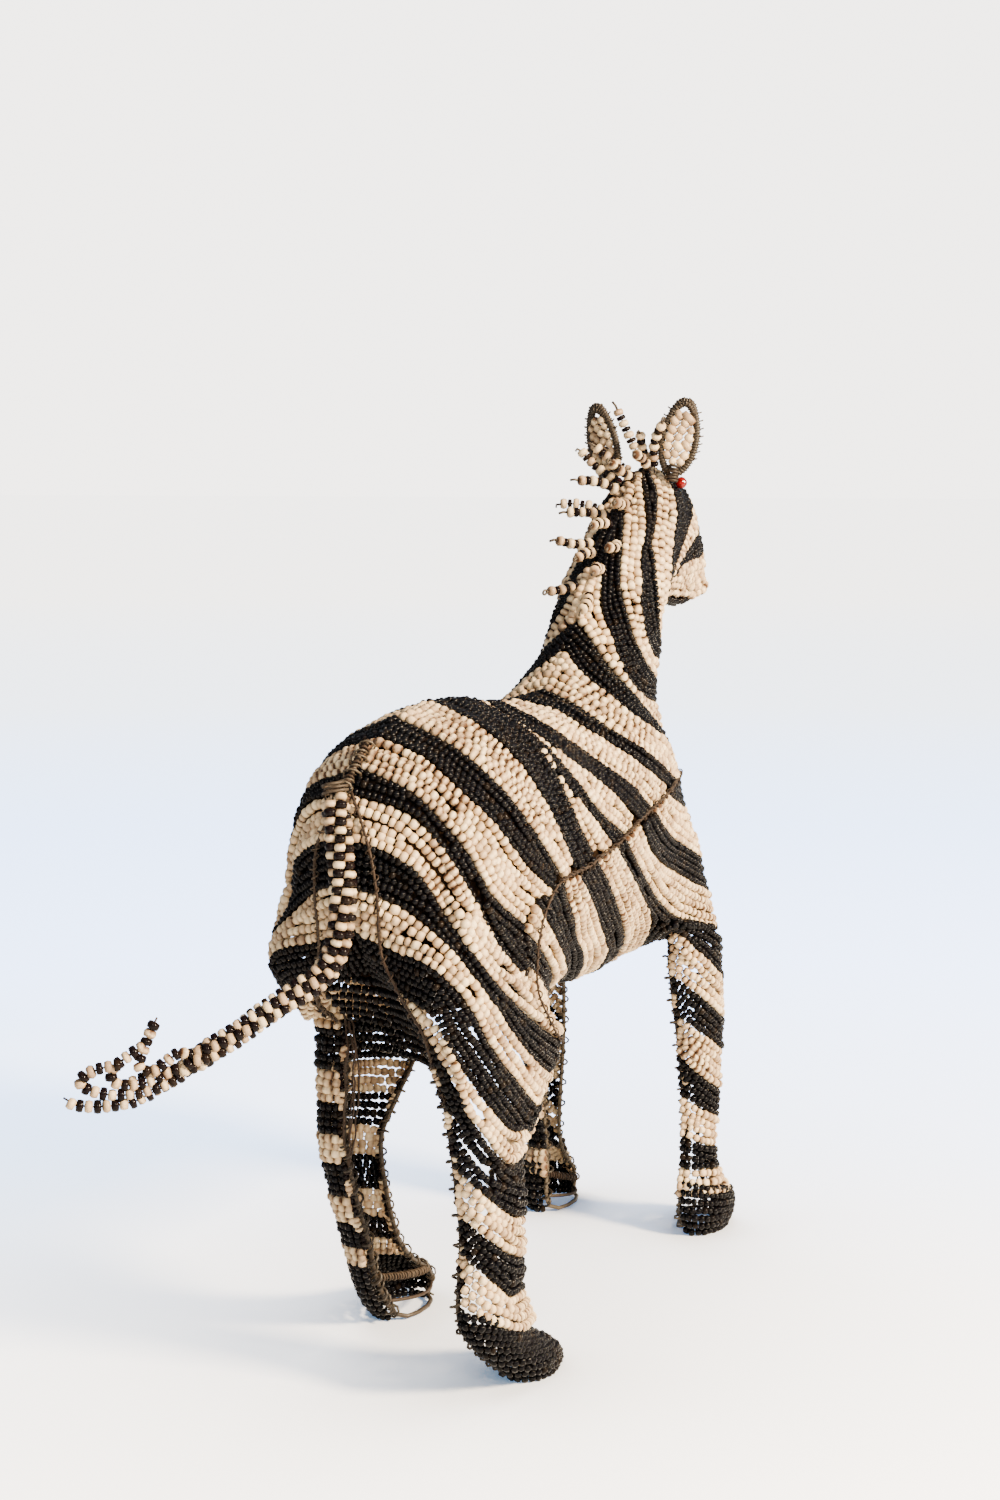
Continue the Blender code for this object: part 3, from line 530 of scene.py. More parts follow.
# The left hind leg's own level rows, from the hoof up to the thigh: top and kind of each band
leftHind = {
    "bands": [(29.5, "cream"), (38.5, "black"), (48.5, "cream"), (60.0, "black"), (69.0, "cream"),
              (77.5, "black"), (86.5, "cream"), (99.0, "black"), (109.0, "cream")],
    "scale": {"cream": 1.0, "black": 1.12}, "pitch": 1.72, "depth": 1.15, "tilt": 0.16, "wave": 0.15,
}
low = hoof["tops"]["hind_left"]
arc = np.linspace(-legSweep, legSweep, 60)
for top, kind in leftHind["bands"]:
    scale = leftHind["scale"][kind]
    count = max(int(round((top - low) / (leftHind["pitch"] * beadSizes[kind][0] * scale))), 1)
    for row in range(count):
        level = low + (row + 0.5) * (top - low) / count
        tilt = leftHind["tilt"] + 0.008 * random.standard_normal()
        along, halfLong, across, halfWide = legLevel("hind_left", level)
        deep = leftHind["depth"] + 0.2 * random.standard_normal()
        wave = leftHind["wave"] * np.sin(arc * 3 + random.uniform(0, 6))
        path = np.stack([
            along + (halfLong - deep) * np.sin(arc), across + (halfWide - deep) * np.cos(arc),
            level - tilt * halfLong * np.sin(arc) + wave,
        ], 1)
        addString(f"leg_{kind}_hind_left", path, kind, scale=scale)
        addWire("threads", evenly(path, spacing=threadSpacing), threadRadius, 0.4, 3)
    low = top
print("hooves and left hind leg laid")


# A string of cream beads and black discs by turns: each starts where the one before it ends.
def addPattern(piece, path, pattern, start=0.3):
    run = runAlong(path)
    spots = {}
    here = start
    k = 0
    while True:
        kind, radius, half = pattern[k % len(pattern)]
        if here + 2 * half > run[-1] + 0.4:
            break
        spots.setdefault((kind, radius, half), []).append(here + half)
        here += 2 * half * 1.01
        k += 1
    for (kind, radius, half), middles in spots.items():
        at = np.array(middles)
        ahead = unitWay(atRun(path, run, at + 1) - atRun(path, run, at - 1))
        ahead += 0.05 * random.standard_normal(ahead.shape)
        sizes = np.array([radius, half]) * (1 + 0.05 * random.standard_normal((2, len(at))).T)
        look = np.stack([random.random(len(at)), np.full(len(at), 0.12), random.random(len(at))], 1)
        beadStore.setdefault(f"{piece}_{kind}", []).append((atRun(path, run, at), ahead, sizes, look))


# Tail: five strings twisted in a ring; each then strays along its own curled end
tail = {
    "line": [(-117.5, -1, 181), (-119.5, -4, 166), (-121.5, -6, 151), (-125.5, -4, 134), (-137, 9, 122),
             (-146, 20, 113), (-150, 24, 110)],
    "ends": [
        [(-153, 27, 105.5), (-157, 31, 103), (-161, 35, 100.5), (-164, 38, 100), (-168, 42, 100),
         (-172, 46.5, 101), (-173.5, 48.5, 103)],
        [(-153, 26, 113), (-155.5, 29, 110.5), (-158, 31, 108.5), (-160.5, 33.5, 110), (-159.5, 33, 114),
         (-158, 31.5, 119), (-157, 30, 123)],
        [(-155, 29, 107), (-160, 34, 105), (-164.5, 38.5, 106), (-165, 39, 109.5), (-162.5, 36.5, 112.5),
         (-159, 32, 116)],
        [(-157, 30, 104), (-163, 37, 102.5), (-168, 43, 104), (-170.5, 45.5, 107), (-168, 42, 110),
         (-164, 37, 111)],
        [(-154, 28, 108), (-158, 33, 106.5), (-162, 38, 105)],
    ],
    "twist": math.radians(330), "bunch": 2.5,
    "beads": [("cream", 1.72, 1.20), ("black", 1.80, 1.10)],
}


# String path: middle line plus a ring that turns along it and closes in, then the string's own end points.
def tailPath(number):
    share = np.linspace(0, 1, 90)
    last = len(tail["line"]) - 1
    middle = smoothRows(tail["line"], share * last)
    ahead = unitWay(smoothRows(tail["line"], share * last + 0.1) - smoothRows(tail["line"], share * last - 0.1))
    first = unitWay(np.cross(ahead, (0.3, -0.9, 0.1)))
    second = np.cross(ahead, first)
    turn = (2 * math.pi * number / 5 + tail["twist"] * share)[:, None]
    ring = tail["bunch"] * (1 - 0.25 * share[:, None]) * (first * np.cos(turn) + second * np.sin(turn))
    bunched = middle + ring
    loose = smoothRows(np.vstack([bunched[-12], bunched[-2], tail["ends"][number]]),
                       np.linspace(1, len(tail["ends"][number]) + 1, 60))
    return evenly(np.vstack([bunched[:-2], loose]), 160)


# A fine wire wound round a path: the helix has this radius and this much advance for each turn.
def addWinding(piece, path, radius, pitch, wire, rust, uneven=0.15, sides=4, steps=8):
    path = np.asarray(path, float)
    count = max(int(np.linalg.norm(np.diff(path, axis=0), axis=1).sum() / pitch * steps), 4)
    line = evenly(path, count)
    ahead = unitWay(np.gradient(line, axis=0))
    first = unitWay(np.cross(ahead, (0.43, 0.21, 0.88)))
    second = np.cross(ahead, first)
    turn = 2 * math.pi * np.arange(count) / steps + uneven * np.cumsum(random.standard_normal(count)) * 0.2
    reach = radius * (1 + uneven * np.sin(np.arange(count) * 0.37 + random.uniform(0, 6)))
    coil = first * np.cos(turn)[:, None] + second * np.sin(turn)[:, None]
    addWire(piece, line + coil * reach[:, None], wire, rust, sides)


for number in range(len(tail["ends"])):
    path = tailPath(number)
    addPattern("tail", path, tail["beads"], start=random.uniform(0.2, 4.2))
    addWire("tail_threads", evenly(path, spacing=4), 0.35, 0.6, 4)
root = smoothLine(tail["line"][:2], 20)[:5]
addWinding("tail_threads", root + (0.5, 0, 1.5), 3.2, 1.0, 0.42, 0.7, sides=5, steps=12)

# Mane: ring on the crest, turn of the foot to the left, lean left and lean forward in degrees, share of length
maneStrings = [
    (7.62, 0.20, 20, -52, 0.85), (7.42, -0.15, -12, -62, 0.80), (7.82, -0.25, -12, -40, 0.80),
    (8.06, 0.0, 2, -46, 0.88), (8.30, 0.26, 24, -40, 0.95), (8.32, -0.28, -12, -52, 0.75),
    (8.58, -0.08, 4, -48, 0.88), (8.74, 0.16, 30, -44, 1.05), (8.88, 0.36, 58, -34, 0.95),
    (8.98, -0.22, -4, -50, 0.80), (9.20, 0.16, 38, -34, 1.0), (9.46, 0.34, 46, 12, 1.1),
    (9.50, -0.06, 14, -34, 0.88), (9.70, 0.20, 42, -12, 0.95), (9.74, -0.28, -2, -40, 0.90),
    (9.88, -0.34, -18, -4, 1.1), (10.04, 0.12, 20, -8, 1.3), (10.02, -0.12, 0, -30, 0.85),
]
mane = {"length": 16.0, "lift": 0.9, "hook": 2.6, "beads": [("cream", 1.88, 1.28), ("black", 1.70, 0.85)]}
for number, (ring, footTurn, leanLeft, leanForward, share) in enumerate(maneStrings):
    foot = bodyPoint(ring, abs(footTurn)) * (1, math.copysign(1, footTurn), 1)
    ahead = bodyPoint(ring + 0.05, 0.0) - bodyPoint(ring - 0.05, 0.0)
    ahead /= np.linalg.norm(ahead)
    up = np.array([-ahead[2], 0.0, ahead[0]])
    tilt, pitch = math.radians(leanLeft), math.radians(leanForward)
    way = math.cos(tilt) * (math.cos(pitch) * up + math.sin(pitch) * ahead)
    way = way + math.sin(tilt) * np.array([0, 1.0, 0])
    length = mane["length"] * share
    steps = np.linspace(0, 1, 24)[:, None]
    bend = np.cross(way, random.standard_normal(3)) * 0.9
    path = foot + up * 0.4 + way * length * steps + bend * np.sin(math.pi * steps)
    addPattern("mane", path[::-1], mane["beads"], start=0.0)
    tip = path[-1]
    side = np.cross(way, (0.2, 0.9, 0.3))
    side /= np.linalg.norm(side)
    if number % 3 == 0:
        turn = np.linspace(-0.5 * math.pi, 1.4 * math.pi, 12)[:, None]
        ringPath = tip + way * (1.6 + 0.8 * np.sin(turn)) + side * 0.8 * np.cos(turn)
        addWire("mane_wires", np.vstack([tip - way, tip + way * 0.6, ringPath]), 0.40, 0.2, 5)
    elif number % 3 == 1:
        straight = np.array([tip - way, tip + way * 1.4, tip + way * 3.0 + side * 0.6])
        addWire("mane_wires", straight, 0.45, 0.2, 5)
    else:
        bent = np.array([tip - way, tip + way * 1.2 + side * 0.5, tip + way * 1.0 + side * 1.5])
        addWire("mane_wires", bent, 0.42, 0.4, 5)
    addWire("mane_wires", np.vstack([path[0] - way * 1.5, path[::4]]), 0.3, 0.5, 4)
print("tail and mane laid")

# Ears: slanted rows of cream beads on a leaf-shaped wire rim
ears = {
    "length": 25.5, "width": 10.9, "splay": 0.30, "cupping": 0.9, "taper": (0.24, 0.84),
    "rowPitch": 0.122, "rowSlope": 0.19, "rowFrom": 0.08, "rowTo": 0.86, "scale": 1.06, "stretch": 1.18,
    "base": {"right": (94.0, 11.5, 266.5), "left": (92.0, 11.5, 264.5)},
    "lean": {"right": (0.22, 0.10, 0.97), "left": (-0.05, 0.20, 0.98)},
    "rim": 1.15, "cap": 0.95, "spike": 0.34, "winding": 0.95,
    "capLine": [(0.84, 0.91, 0.955, 0.955, 0.91, 0.84), (-0.86, -0.7, -0.3, 0.3, 0.7, 0.86)],
}


# Point of an ear: half width is the taper plus a sine of the share of length; the cup is one less across
# squared.
def earPoint(share, across, base, up, back, wide):
    low, swell = ears["taper"]
    half = ears["width"] / 2 * (low + swell * np.sin(math.pi * np.clip(share, 0, 1) ** 0.86) ** 0.7)
    cup = ears["cupping"] * (1 - across**2)
    return base + np.outer(share * ears["length"], up) + np.outer(across * half, wide) + np.outer(cup, back)
for side, sign in (("right", -1), ("left", 1)):
    base = np.array(ears["base"][side]) * (1, sign, 1)
    up = np.array(ears["lean"][side]) * (1, sign, 1)
    up /= np.linalg.norm(up)
    back = np.array([-1.0, sign * ears["splay"], 0.0])
    back -= up * back.dot(up)
    back /= np.linalg.norm(back)
    wide = np.cross(up, back)
    ways = (base, up, back, wide)
    wires = f"ear_wires_{side}"
    for row in range(-1, 10):
        across = np.linspace(-0.82, 0.82, 16)
        share = 0.11 + ears["rowPitch"] * row + ears["rowSlope"] * across * sign
        stay = (share > ears["rowFrom"]) & (share < ears["rowTo"])
        if stay.sum() > 4:
            addString(f"ear_beads_{side}", earPoint(share[stay], across[stay], *ways), "cream",
                      scale=ears["scale"], loose=0.05, stretch=ears["stretch"])
    share = np.concatenate([np.linspace(0, 1, 30), np.linspace(1, 0, 30)])
    across = np.concatenate([np.ones(30), -np.ones(30)])
    rim = earPoint(share, across, *ways)
    addWire(wires, rim, ears["rim"], 0.5, 7)
    addWinding(wires, rim, 1.2, ears["winding"], 0.36, 0.1, uneven=0.08)
    cap = smoothLine(earPoint(*np.array(ears["capLine"]), *ways), 24)
    addWire(wires, cap, ears["cap"], 0.6, 6)
    addWinding(wires, cap, 1.0, ears["winding"], 0.34, 0.2, uneven=0.08)
    for k in np.linspace(0.22, 0.86, 7):
        for edge in (-1, 1) if k < 0.3 or k > 0.6 else (-sign,):
            spot = earPoint(np.array([k]), np.array([float(edge)]), *ways)[0]
            outward = wide * edge + up * 0.15
            spike = np.array([spot, spot + outward * 1.6, spot + outward * 2.4 + up * 0.3])
            addWire(wires, spike, ears["spike"], 0.6, 4)
    addWinding(wires, np.array([base - up * 3.0, base + up * 2.5]), 2.1, ears["winding"], 0.5, 0.5, sides=5)
print("ears laid")


# Edge of an open leg: the wall's point at a turn and each level, pushed outward by the reach.
def legRim(leg, turn, levels, reach=1.6):
    points = []
    for level in levels:
        _, halfLong, _, halfWide = legLevel(leg, level)
        along = (halfLong - 1.4) * math.cos(turn)
        across = -(halfWide - 1.4) * math.sin(turn)
        away = math.copysign(reach, turn) / math.hypot(along, across)
        spot = legArc(leg, np.array([level]), np.array([turn]), 1.4)[0]
        points.append(spot + np.array([along * away, legSide[leg] * across * away, 0]))
    return np.array(points)


# Leg frame wires: down the rear edge, round under the open side of the hoof and up the front edge. A winding
# is its radius, its advance for each turn, its wire, its rust and how uneven it is
legWires = {
    "rearTop": 96, "frontTops": {"hind_right": 72, "hind_left": 96, "fore_right": 98, "fore_left": 98},
    "wire": 0.75, "rear": (1.6, 4.2, 0.42, 0.1, 0.35), "lacing": (0.8, 1.9, 0.22, 0.2, 0.45),
    "front": (1.4, 3.8, 0.36, 0.2, 0.4), "loopBulge": 4.5, "bow": 0.6, "bowWinding": (1.0, 1.3, 0.36, 0.9),
}
for leg in legTables:
    rear = legRim(leg, -legSweep, np.linspace(2, legWires["rearTop"], 48))
    front = legRim(leg, legSweep, np.linspace(2, legWires["frontTops"][leg], 48))
    heel, toe = rear[0], front[0]
    share = np.array([0.12, 0.35, 0.65, 0.88])[:, None]
    inward = np.array([0, -legSide[leg], 0])
    loop = heel + (toe - heel) * share + inward * legWires["loopBulge"] * np.sin(math.pi * share) ** 0.5
    loop[:, 2] = 1.2
    name = f"leg_wires_{leg}"
    addWire(name, np.vstack([rear[::-1], loop, front]), legWires["wire"], 0.3, 6)
    addWinding(name, rear, *legWires["rear"], sides=5)
    addWinding(name, rear, *legWires["lacing"])
    addWinding(name, front, *legWires["front"])
    top = hoof["tops"][leg] * 0.8
    for lift, reach in ((top, 3.0), (top * 0.45, 5.0)):
        start = legRim(leg, -legSweep, [lift])[0]
        stop = legRim(leg, legSweep, [max(lift * 0.75, 2)])[0]
        share = np.linspace(0, 1, 9)[:, None]
        bow = start + (stop - start) * share + inward * reach * np.sin(math.pi * share)
        addWire(name, bow, legWires["bow"], 0.8, 5)
        if lift == top:
            addWinding(name, bow, *legWires["bowWinding"])

# Strings of black and cream beads that finish the edges of the hind legs and the right fore leg
edgeBeads = {"beads": [("black", 1.15, 0.9)] * 5 + [("cream", 1.3, 1.0)] * 3,
             "from": 26, "hindTo": 98, "foreTo": 104}
for leg, turn in (("hind_left", legSweep), ("hind_left", -legSweep), ("hind_right", -legSweep),
                  ("fore_right", -legSweep)):
    high = edgeBeads["hindTo"] if "hind" in leg else edgeBeads["foreTo"]
    path = legRim(leg, turn, np.linspace(edgeBeads["from"], high, 40), reach=-0.2)
    path += 0.35 * random.standard_normal((len(path), 3))
    addPattern("leg_edges", path, edgeBeads["beads"], start=random.uniform(0, 3))
for k in range(4):
    path = legRim("hind_left", -legSweep, np.linspace(58, 108, 14), reach=1.5)
    bow = np.sin(np.linspace(0, math.pi, 14) * random.uniform(0.8, 1.5))[:, None]
    path = path + bow * np.array([random.uniform(-4, 1), random.uniform(-8, -1), 0])
    path += 0.3 * random.standard_normal((14, 3))
    addWire("leg_wires_hind_left", smoothLine(path, 40), 0.3, 0.9, 5)

# Black rows that sag between the two skins under the tail
for k in range(9):
    share = k / 8
    right = np.array([-105 + 11 * share, -14 - 9 * share, 124 - 27 * share])
    left = toLeft(right[None], "hind")[0]
    middle = (right + left) / 2 + (9 + 6 * share, 0, -1.0 - 2 * share)
    path = smoothLine([right, (right * 2 + middle) / 3 + (2.0, 0, 0), middle,
                       (left * 2 + middle) / 3 + (2.0, 0, 0), left], 50)
    addString("rump_black", path, "black", scale=1.06)
    addWire("threads", evenly(path, spacing=threadSpacing), threadRadius, 0.4, 3)

# Wires on the body: along the seam, the rear edges of the two skins and the top of the rump
bodyWires = {
    "seam": [(77, -21, 164.5), (71, -24.8, 164.6), (47, -33.5, 165), (36, -35.5, 163), (21, -36.6, 160),
             (8, -37.3, 157.5), (-2, -37.7, 155), (-12, -38.2, 152.5), (-25, -38.5, 151), (-31, -38.5, 149.5),
             (-40, -38.5, 149), (-49, -38.5, 148.5), (-57, -38.6, 146), (-64, -38.2, 138), (-67, -38, 128),
             (-66, -37.8, 118), (-58, -37.6, 108), (-48, -36.5, 99)],
    "rearEdge": [(-108, -1, 179), (-111, -8, 165), (-110, -10, 151), (-108, -10, 135), (-106, -13, 126),
                 (-105, -16, 120), (-104, -21, 112), (-101, -23, 100), (-96, -24, 90)],
    "spine": [(-97, 0, 192), (-102, 0, 188), (-107, 0, 183), (-112, 0, 180), (-116, -1, 180)],
}
for side in ("right", "left"):
    for line, count, wire, winding in (("seam", 90, 0.32, (0.65, 3.0, 0.24, 0.6)),
                                       ("rearEdge", 60, 0.42, (0.85, 2.8, 0.25, 0.7))):
        line = smoothLine(bodyWires[line], count)
        if side == "left":
            line = toLeft(line, "hind")
        addWire("seam_wires", line, wire, 0.9, 5)
        addWinding("seam_wires", line, *winding, uneven=0.5)
line = smoothLine(bodyWires["spine"], 40)
addWire("rump_wire", line, 0.7, 0.8, 6)
addWinding("rump_wire", line, 1.0, 1.3, 0.36, 0.9, uneven=0.3)
addWinding("rump_wire", line + (0, 0, -0.4), 1.9, 2.6, 0.3, 0.4, uneven=0.4)
print("wires laid")


# Closed bead: a pole, rings of (axial place, radius) and a pole, as vertices, faces and joint closeness; joint
# closeness sets the painted shade and dirt at the bead's ends.
def beadTemplate(sides, rings):
    verts = [(0, 0, -0.93)]
    # Closeness to the bead's ends, which the finish paints darker as shade between beads with some dirt
    jointDirtAndShade = [1.0]
    for axial, radius in rings:
        for k in range(sides):
            turn = 2 * math.pi * (k + 0.5) / sides
            verts.append((radius * math.cos(turn), radius * math.sin(turn), axial))
            jointDirtAndShade.append(max(0.0, 1 - radius) * 2.4)
    verts.append((0, 0, 0.93))
    jointDirtAndShade.append(1.0)
    faces = []
    last = len(verts) - 1
    for k in range(sides):
        j = (k + 1) % sides
        faces.append((0, 1 + j, 1 + k))
        for ring in range(len(rings) - 1):
            a = 1 + ring * sides
            faces.append((a + k, a + j, a + sides + j, a + sides + k))
        a = 1 + (len(rings) - 1) * sides
        faces.append((a + k, a + j, last))
    return np.array(verts), faces, np.array(jointDirtAndShade)


# A smooth-shaded mesh object; look gives tone, joint shade and dirt, rust and a spare random number for each
# vertex.
def meshFrom(name, verts, loops, starts, totals, look, material):
    made = bpy.data.meshes.new(name)
    made.vertices.add(len(verts))
    made.vertices.foreach_set("co", np.ascontiguousarray(verts, dtype=np.float32).ravel())
    made.loops.add(len(loops))
    made.loops.foreach_set("vertex_index", loops)
    made.polygons.add(len(starts))
    made.polygons.foreach_set("loop_start", starts)
    made.polygons.foreach_set("loop_total", totals)
    made.polygons.foreach_set("use_smooth", np.ones(len(starts), bool))
    made.update(calc_edges=True)
    made.validate()
    layer = made.attributes.new("beadLook", "FLOAT_COLOR", "POINT")
    layer.data.foreach_set("color", np.ascontiguousarray(look, dtype=np.float32).ravel())
    obj = bpy.data.objects.new(name, made)
    bpy.context.scene.collection.objects.link(obj)
    made.materials.append(material)
    return obj


# All beads of a piece: middle plus a random cross frame times the radius plus the axis times the half length.
def beadObject(name, sets, template, material):
    centres, axes, sizes, look = (np.concatenate([s[k] for s in sets]) for k in range(4))
    count = len(centres)
    axes = axes / np.linalg.norm(axes, axis=1, keepdims=True)
    first = unitWay(np.cross(axes, random.standard_normal((count, 3))))
    second = np.cross(axes, first)
    shape, faces, jointDirtAndShade = template
    verts = (
        centres[:, None]
        + (first[:, None] * shape[None, :, :1] + second[:, None] * shape[None, :, 1:2]) * sizes[:, :1, None]
        + axes[:, None] * shape[None, :, 2:] * sizes[:, 1:, None]
    )
    verts = place(verts.reshape(-1, 3))
    corners = np.concatenate([np.array(f) for f in faces])
    totals = np.tile([len(f) for f in faces], count)
    loops = (corners[None] + (np.arange(count) * len(shape))[:, None]).ravel()
    starts = np.concatenate([[0], np.cumsum(totals)[:-1]])
    colour = np.empty((count, len(shape), 4))
    colour[..., 0] = look[:, :1]
    # Second channel: closeness to the bead's ends, painted darker as shade between beads with some dirt
    colour[..., 1] = jointDirtAndShade[None]
    colour[..., 2] = look[:, 1:2]
    colour[..., 3] = look[:, 2:]
    obj = meshFrom(name, verts, loops, starts, totals, colour.reshape(-1, 4), material)
    print(name, count, "beads", int((totals - 2).sum()), "triangles")
    return obj


# All wires of a piece: rings of corners round each path, in a frame carried along it, with flat end caps.
def wireObject(name, sets, material):
    allVerts, allLoops, allTotals, allLook = [], [], [], []
    offset = 0
    for path, radius, rust, sides in sets:
        count = len(path)
        ahead = unitWay(np.gradient(path, axis=0))
        frameX = np.empty((count, 3))
        axis = np.cross(ahead[0], (0.31, 0.77, 0.55))
        frameX[0] = axis / np.linalg.norm(axis)
        for k in range(1, count):
            axis = frameX[k - 1] - ahead[k] * frameX[k - 1].dot(ahead[k])
            frameX[k] = axis / np.linalg.norm(axis)
        frameY = np.cross(ahead, frameX)
        turn = 2 * math.pi * np.arange(sides) / sides
        ring = frameX[:, None] * np.cos(turn)[None, :, None] + frameY[:, None] * np.sin(turn)[None, :, None]
        verts = (path[:, None] + ring * radius).reshape(-1, 3)
        a = (np.arange(count - 1) * sides)[:, None] + np.arange(sides)[None]
        b = (np.arange(count - 1) * sides)[:, None] + (np.arange(sides) + 1)[None] % sides
        quads = np.stack([a, b, b + sides, a + sides], -1).reshape(-1)
        caps = np.concatenate([np.arange(sides)[::-1], (count - 1) * sides + np.arange(sides)])
        allLoops.append(np.concatenate([quads, caps]) + offset)
        allTotals.append(np.concatenate([np.full((count - 1) * sides, 4), [sides, sides]]))
        allVerts.append(verts)
        shade = np.ones((len(verts), 4))
        shade[:, 0] = random.random()
        shade[:, 1] = 0
        shade[:, 2] = rust
        allLook.append(shade)
        offset += len(verts)
    totals = np.concatenate(allTotals)
    starts = np.concatenate([[0], np.cumsum(totals)[:-1]])
    obj = meshFrom(
        name, place(np.concatenate(allVerts)), np.concatenate(allLoops), starts, totals,
        np.concatenate(allLook), material,
    )
    print(name, len(sets), "wires", int((totals - 2).sum()), "triangles")
    return obj


# Inset, rings, spokes and end closing of the near-black sheet that paints the shade inside the skin
shadeLining = {"inset": 3.2, "rings": 70, "spokes": 40, "closeEnd": 0.4}


# Painted shade for the hollow inside of the skin: a near-black sheet seen only where rows part, the body's grid
# moved in along its normals.
def shadeLiningGrid(inset, rings, spokes):
    ringAt = np.linspace(0.02, 12.9, rings)[:, None]
    turn = np.linspace(0, 2 * math.pi, spokes, endpoint=False)[None]
    folded = np.where(turn > math.pi, 2 * math.pi - turn, turn)
    points = bodyPoint(rowRing(ringAt, folded), folded)
    points[..., 1] *= np.where(turn > math.pi, -1, 1)
    ahead = np.gradient(points, axis=0)
    sideways = np.roll(points, -1, 1) - np.roll(points, 1, 1)
    normal = unitWay(np.cross(ahead, sideways))
    normal *= np.sign((normal * (points - points.mean(1, keepdims=True))).sum(-1, keepdims=True))
    moved = points - normal * inset
    moved[0] = moved[0].mean(0) + (moved[0] - moved[0].mean(0)) * shadeLining["closeEnd"]
    moved[:3, :, 0] = np.maximum(moved[:3, :, 0], points[:3, :, 0] + inset * 0.9)
    return moved


# The painted-shade sheet as a closed mesh: quads between its rings and a fan of triangles at each end.
def shadeLiningObject(material):
    points = shadeLiningGrid(shadeLining["inset"], shadeLining["rings"], shadeLining["spokes"])
    rings, spokes = points.shape[:2]
    verts = np.concatenate([points.reshape(-1, 3), points[0].mean(0)[None], points[-1].mean(0)[None]])
    a = (np.arange(rings - 1) * spokes)[:, None] + np.arange(spokes)[None]
    b = (np.arange(rings - 1) * spokes)[:, None] + (np.arange(spokes) + 1)[None] % spokes
    quads = np.stack([a, a + spokes, b + spokes, b], -1).reshape(-1)
    k = np.arange(spokes)
    j = (k + 1) % spokes
    start = np.stack([np.full(spokes, rings * spokes), k, j], -1).ravel()
    high = (rings - 1) * spokes
    stop = np.stack([np.full(spokes, rings * spokes + 1), high + j, high + k], -1).ravel()
    totals = np.concatenate([np.full((rings - 1) * spokes, 4), np.full(2 * spokes, 3)])
    starts = np.concatenate([[0], np.cumsum(totals)[:-1]])
    look = np.zeros((len(verts), 4))
    loops = np.concatenate([quads, start, stop])
    return meshFrom("painted_shade_skin_inside", place(verts), loops, starts, totals, look, material)


# Faceted glass bead for an eye: rings of flat faces between two small ends.
def eyeObject(name, middle, radius, material):
    sides = 8
    rings = [(-0.86, 0.42), (-0.45, 0.9), (0.0, 1.0), (0.45, 0.9), (0.86, 0.42)]
    turns = [[2 * math.pi * (k + 0.5 * n) / sides for k in range(sides)] for n in range(len(rings))]
    shape = np.array([(radius * r * math.cos(turn), radius * h, radius * r * math.sin(turn))
                      for (h, r), ring in zip(rings, turns) for turn in ring])
    faces = [tuple(range(sides)), tuple(reversed(range(4 * sides, 5 * sides)))]
    for n in range(len(rings) - 1):
        for k in range(sides):
            a, b = n * sides + k, n * sides + (k + 1) % sides
            c, d = a + sides, b + sides
            faces += [(a, c, b), (b, c, d)]
    made = bpy.data.meshes.new(name)
    made.from_pydata([tuple(v) for v in place(shape + middle)], [], faces)
    made.materials.append(material)
    made.update()
    obj = bpy.data.objects.new(name, made)
    bpy.context.scene.collection.objects.link(obj)
    return obj


# A new material with its node tree and its Principled shader.
def nodeMaterial(name):
    made = bpy.data.materials.new(name)
    made.use_nodes = True
    return made, made.node_tree, made.node_tree.nodes["Principled BSDF"]


# Inputs of a node: one given as a socket is linked, any other value is set.
def setInputs(node, inputs):
    for key, value in inputs.items():
        if isinstance(value, bpy.types.NodeSocket):
            node.id_data.links.new(value, node.inputs[key])
        else:
            node.inputs[key].default_value = value


# A new node with its settings and its inputs.
def addNode(tree, kind, inputs=None, **settings):
    node = tree.nodes.new(kind)
    for key, value in settings.items():
        setattr(node, key, value)
    setInputs(node, inputs or {})
    return node


# Result of a maths operation on values or sockets.
def maths(tree, operation, *values, clamp=False):
    node = addNode(tree, "ShaderNodeMath", operation=operation, use_clamp=clamp)
    setInputs(node, dict(enumerate(values)))
    return node.outputs[0]


# A value brought from one range to another, clamped.
def mapRange(tree, value, low=0.0, high=1.0, least=0.0, most=1.0):
    node = addNode(tree, "ShaderNodeMapRange", {
        "Value": value, "From Min": low, "From Max": high, "To Min": least, "To Max": most})
    return node.outputs[0]


# Noise in object coordinates.
def objectNoise(tree, scale, detail):
    where = tree.nodes.new("ShaderNodeTexCoord").outputs["Object"]
    noise = addNode(tree, "ShaderNodeTexNoise", {"Vector": where, "Scale": scale, "Detail": detail})
    return noise.outputs["Fac"]


# Mix of two colours by a factor.
def mixColours(tree, factor, first, second, blend="MIX"):
    node = addNode(tree, "ShaderNodeMix", data_type="RGBA", blend_type=blend)
    setInputs(node, {"Factor": factor, "A": first, "B": second})
    return node.outputs["Result"]


# Colour ramp with one element for each (place, colour).
def toneRamp(tree, value, tones):
    node = addNode(tree, "ShaderNodeValToRGB", {0: value})
    elements = node.color_ramp.elements
    while len(elements) < len(tones):
        elements.new(0.5)
    for element, (spot, colour) in zip(elements, tones):
        element.position = spot
        element.color = (*colour, 1)
    return node.outputs[0]
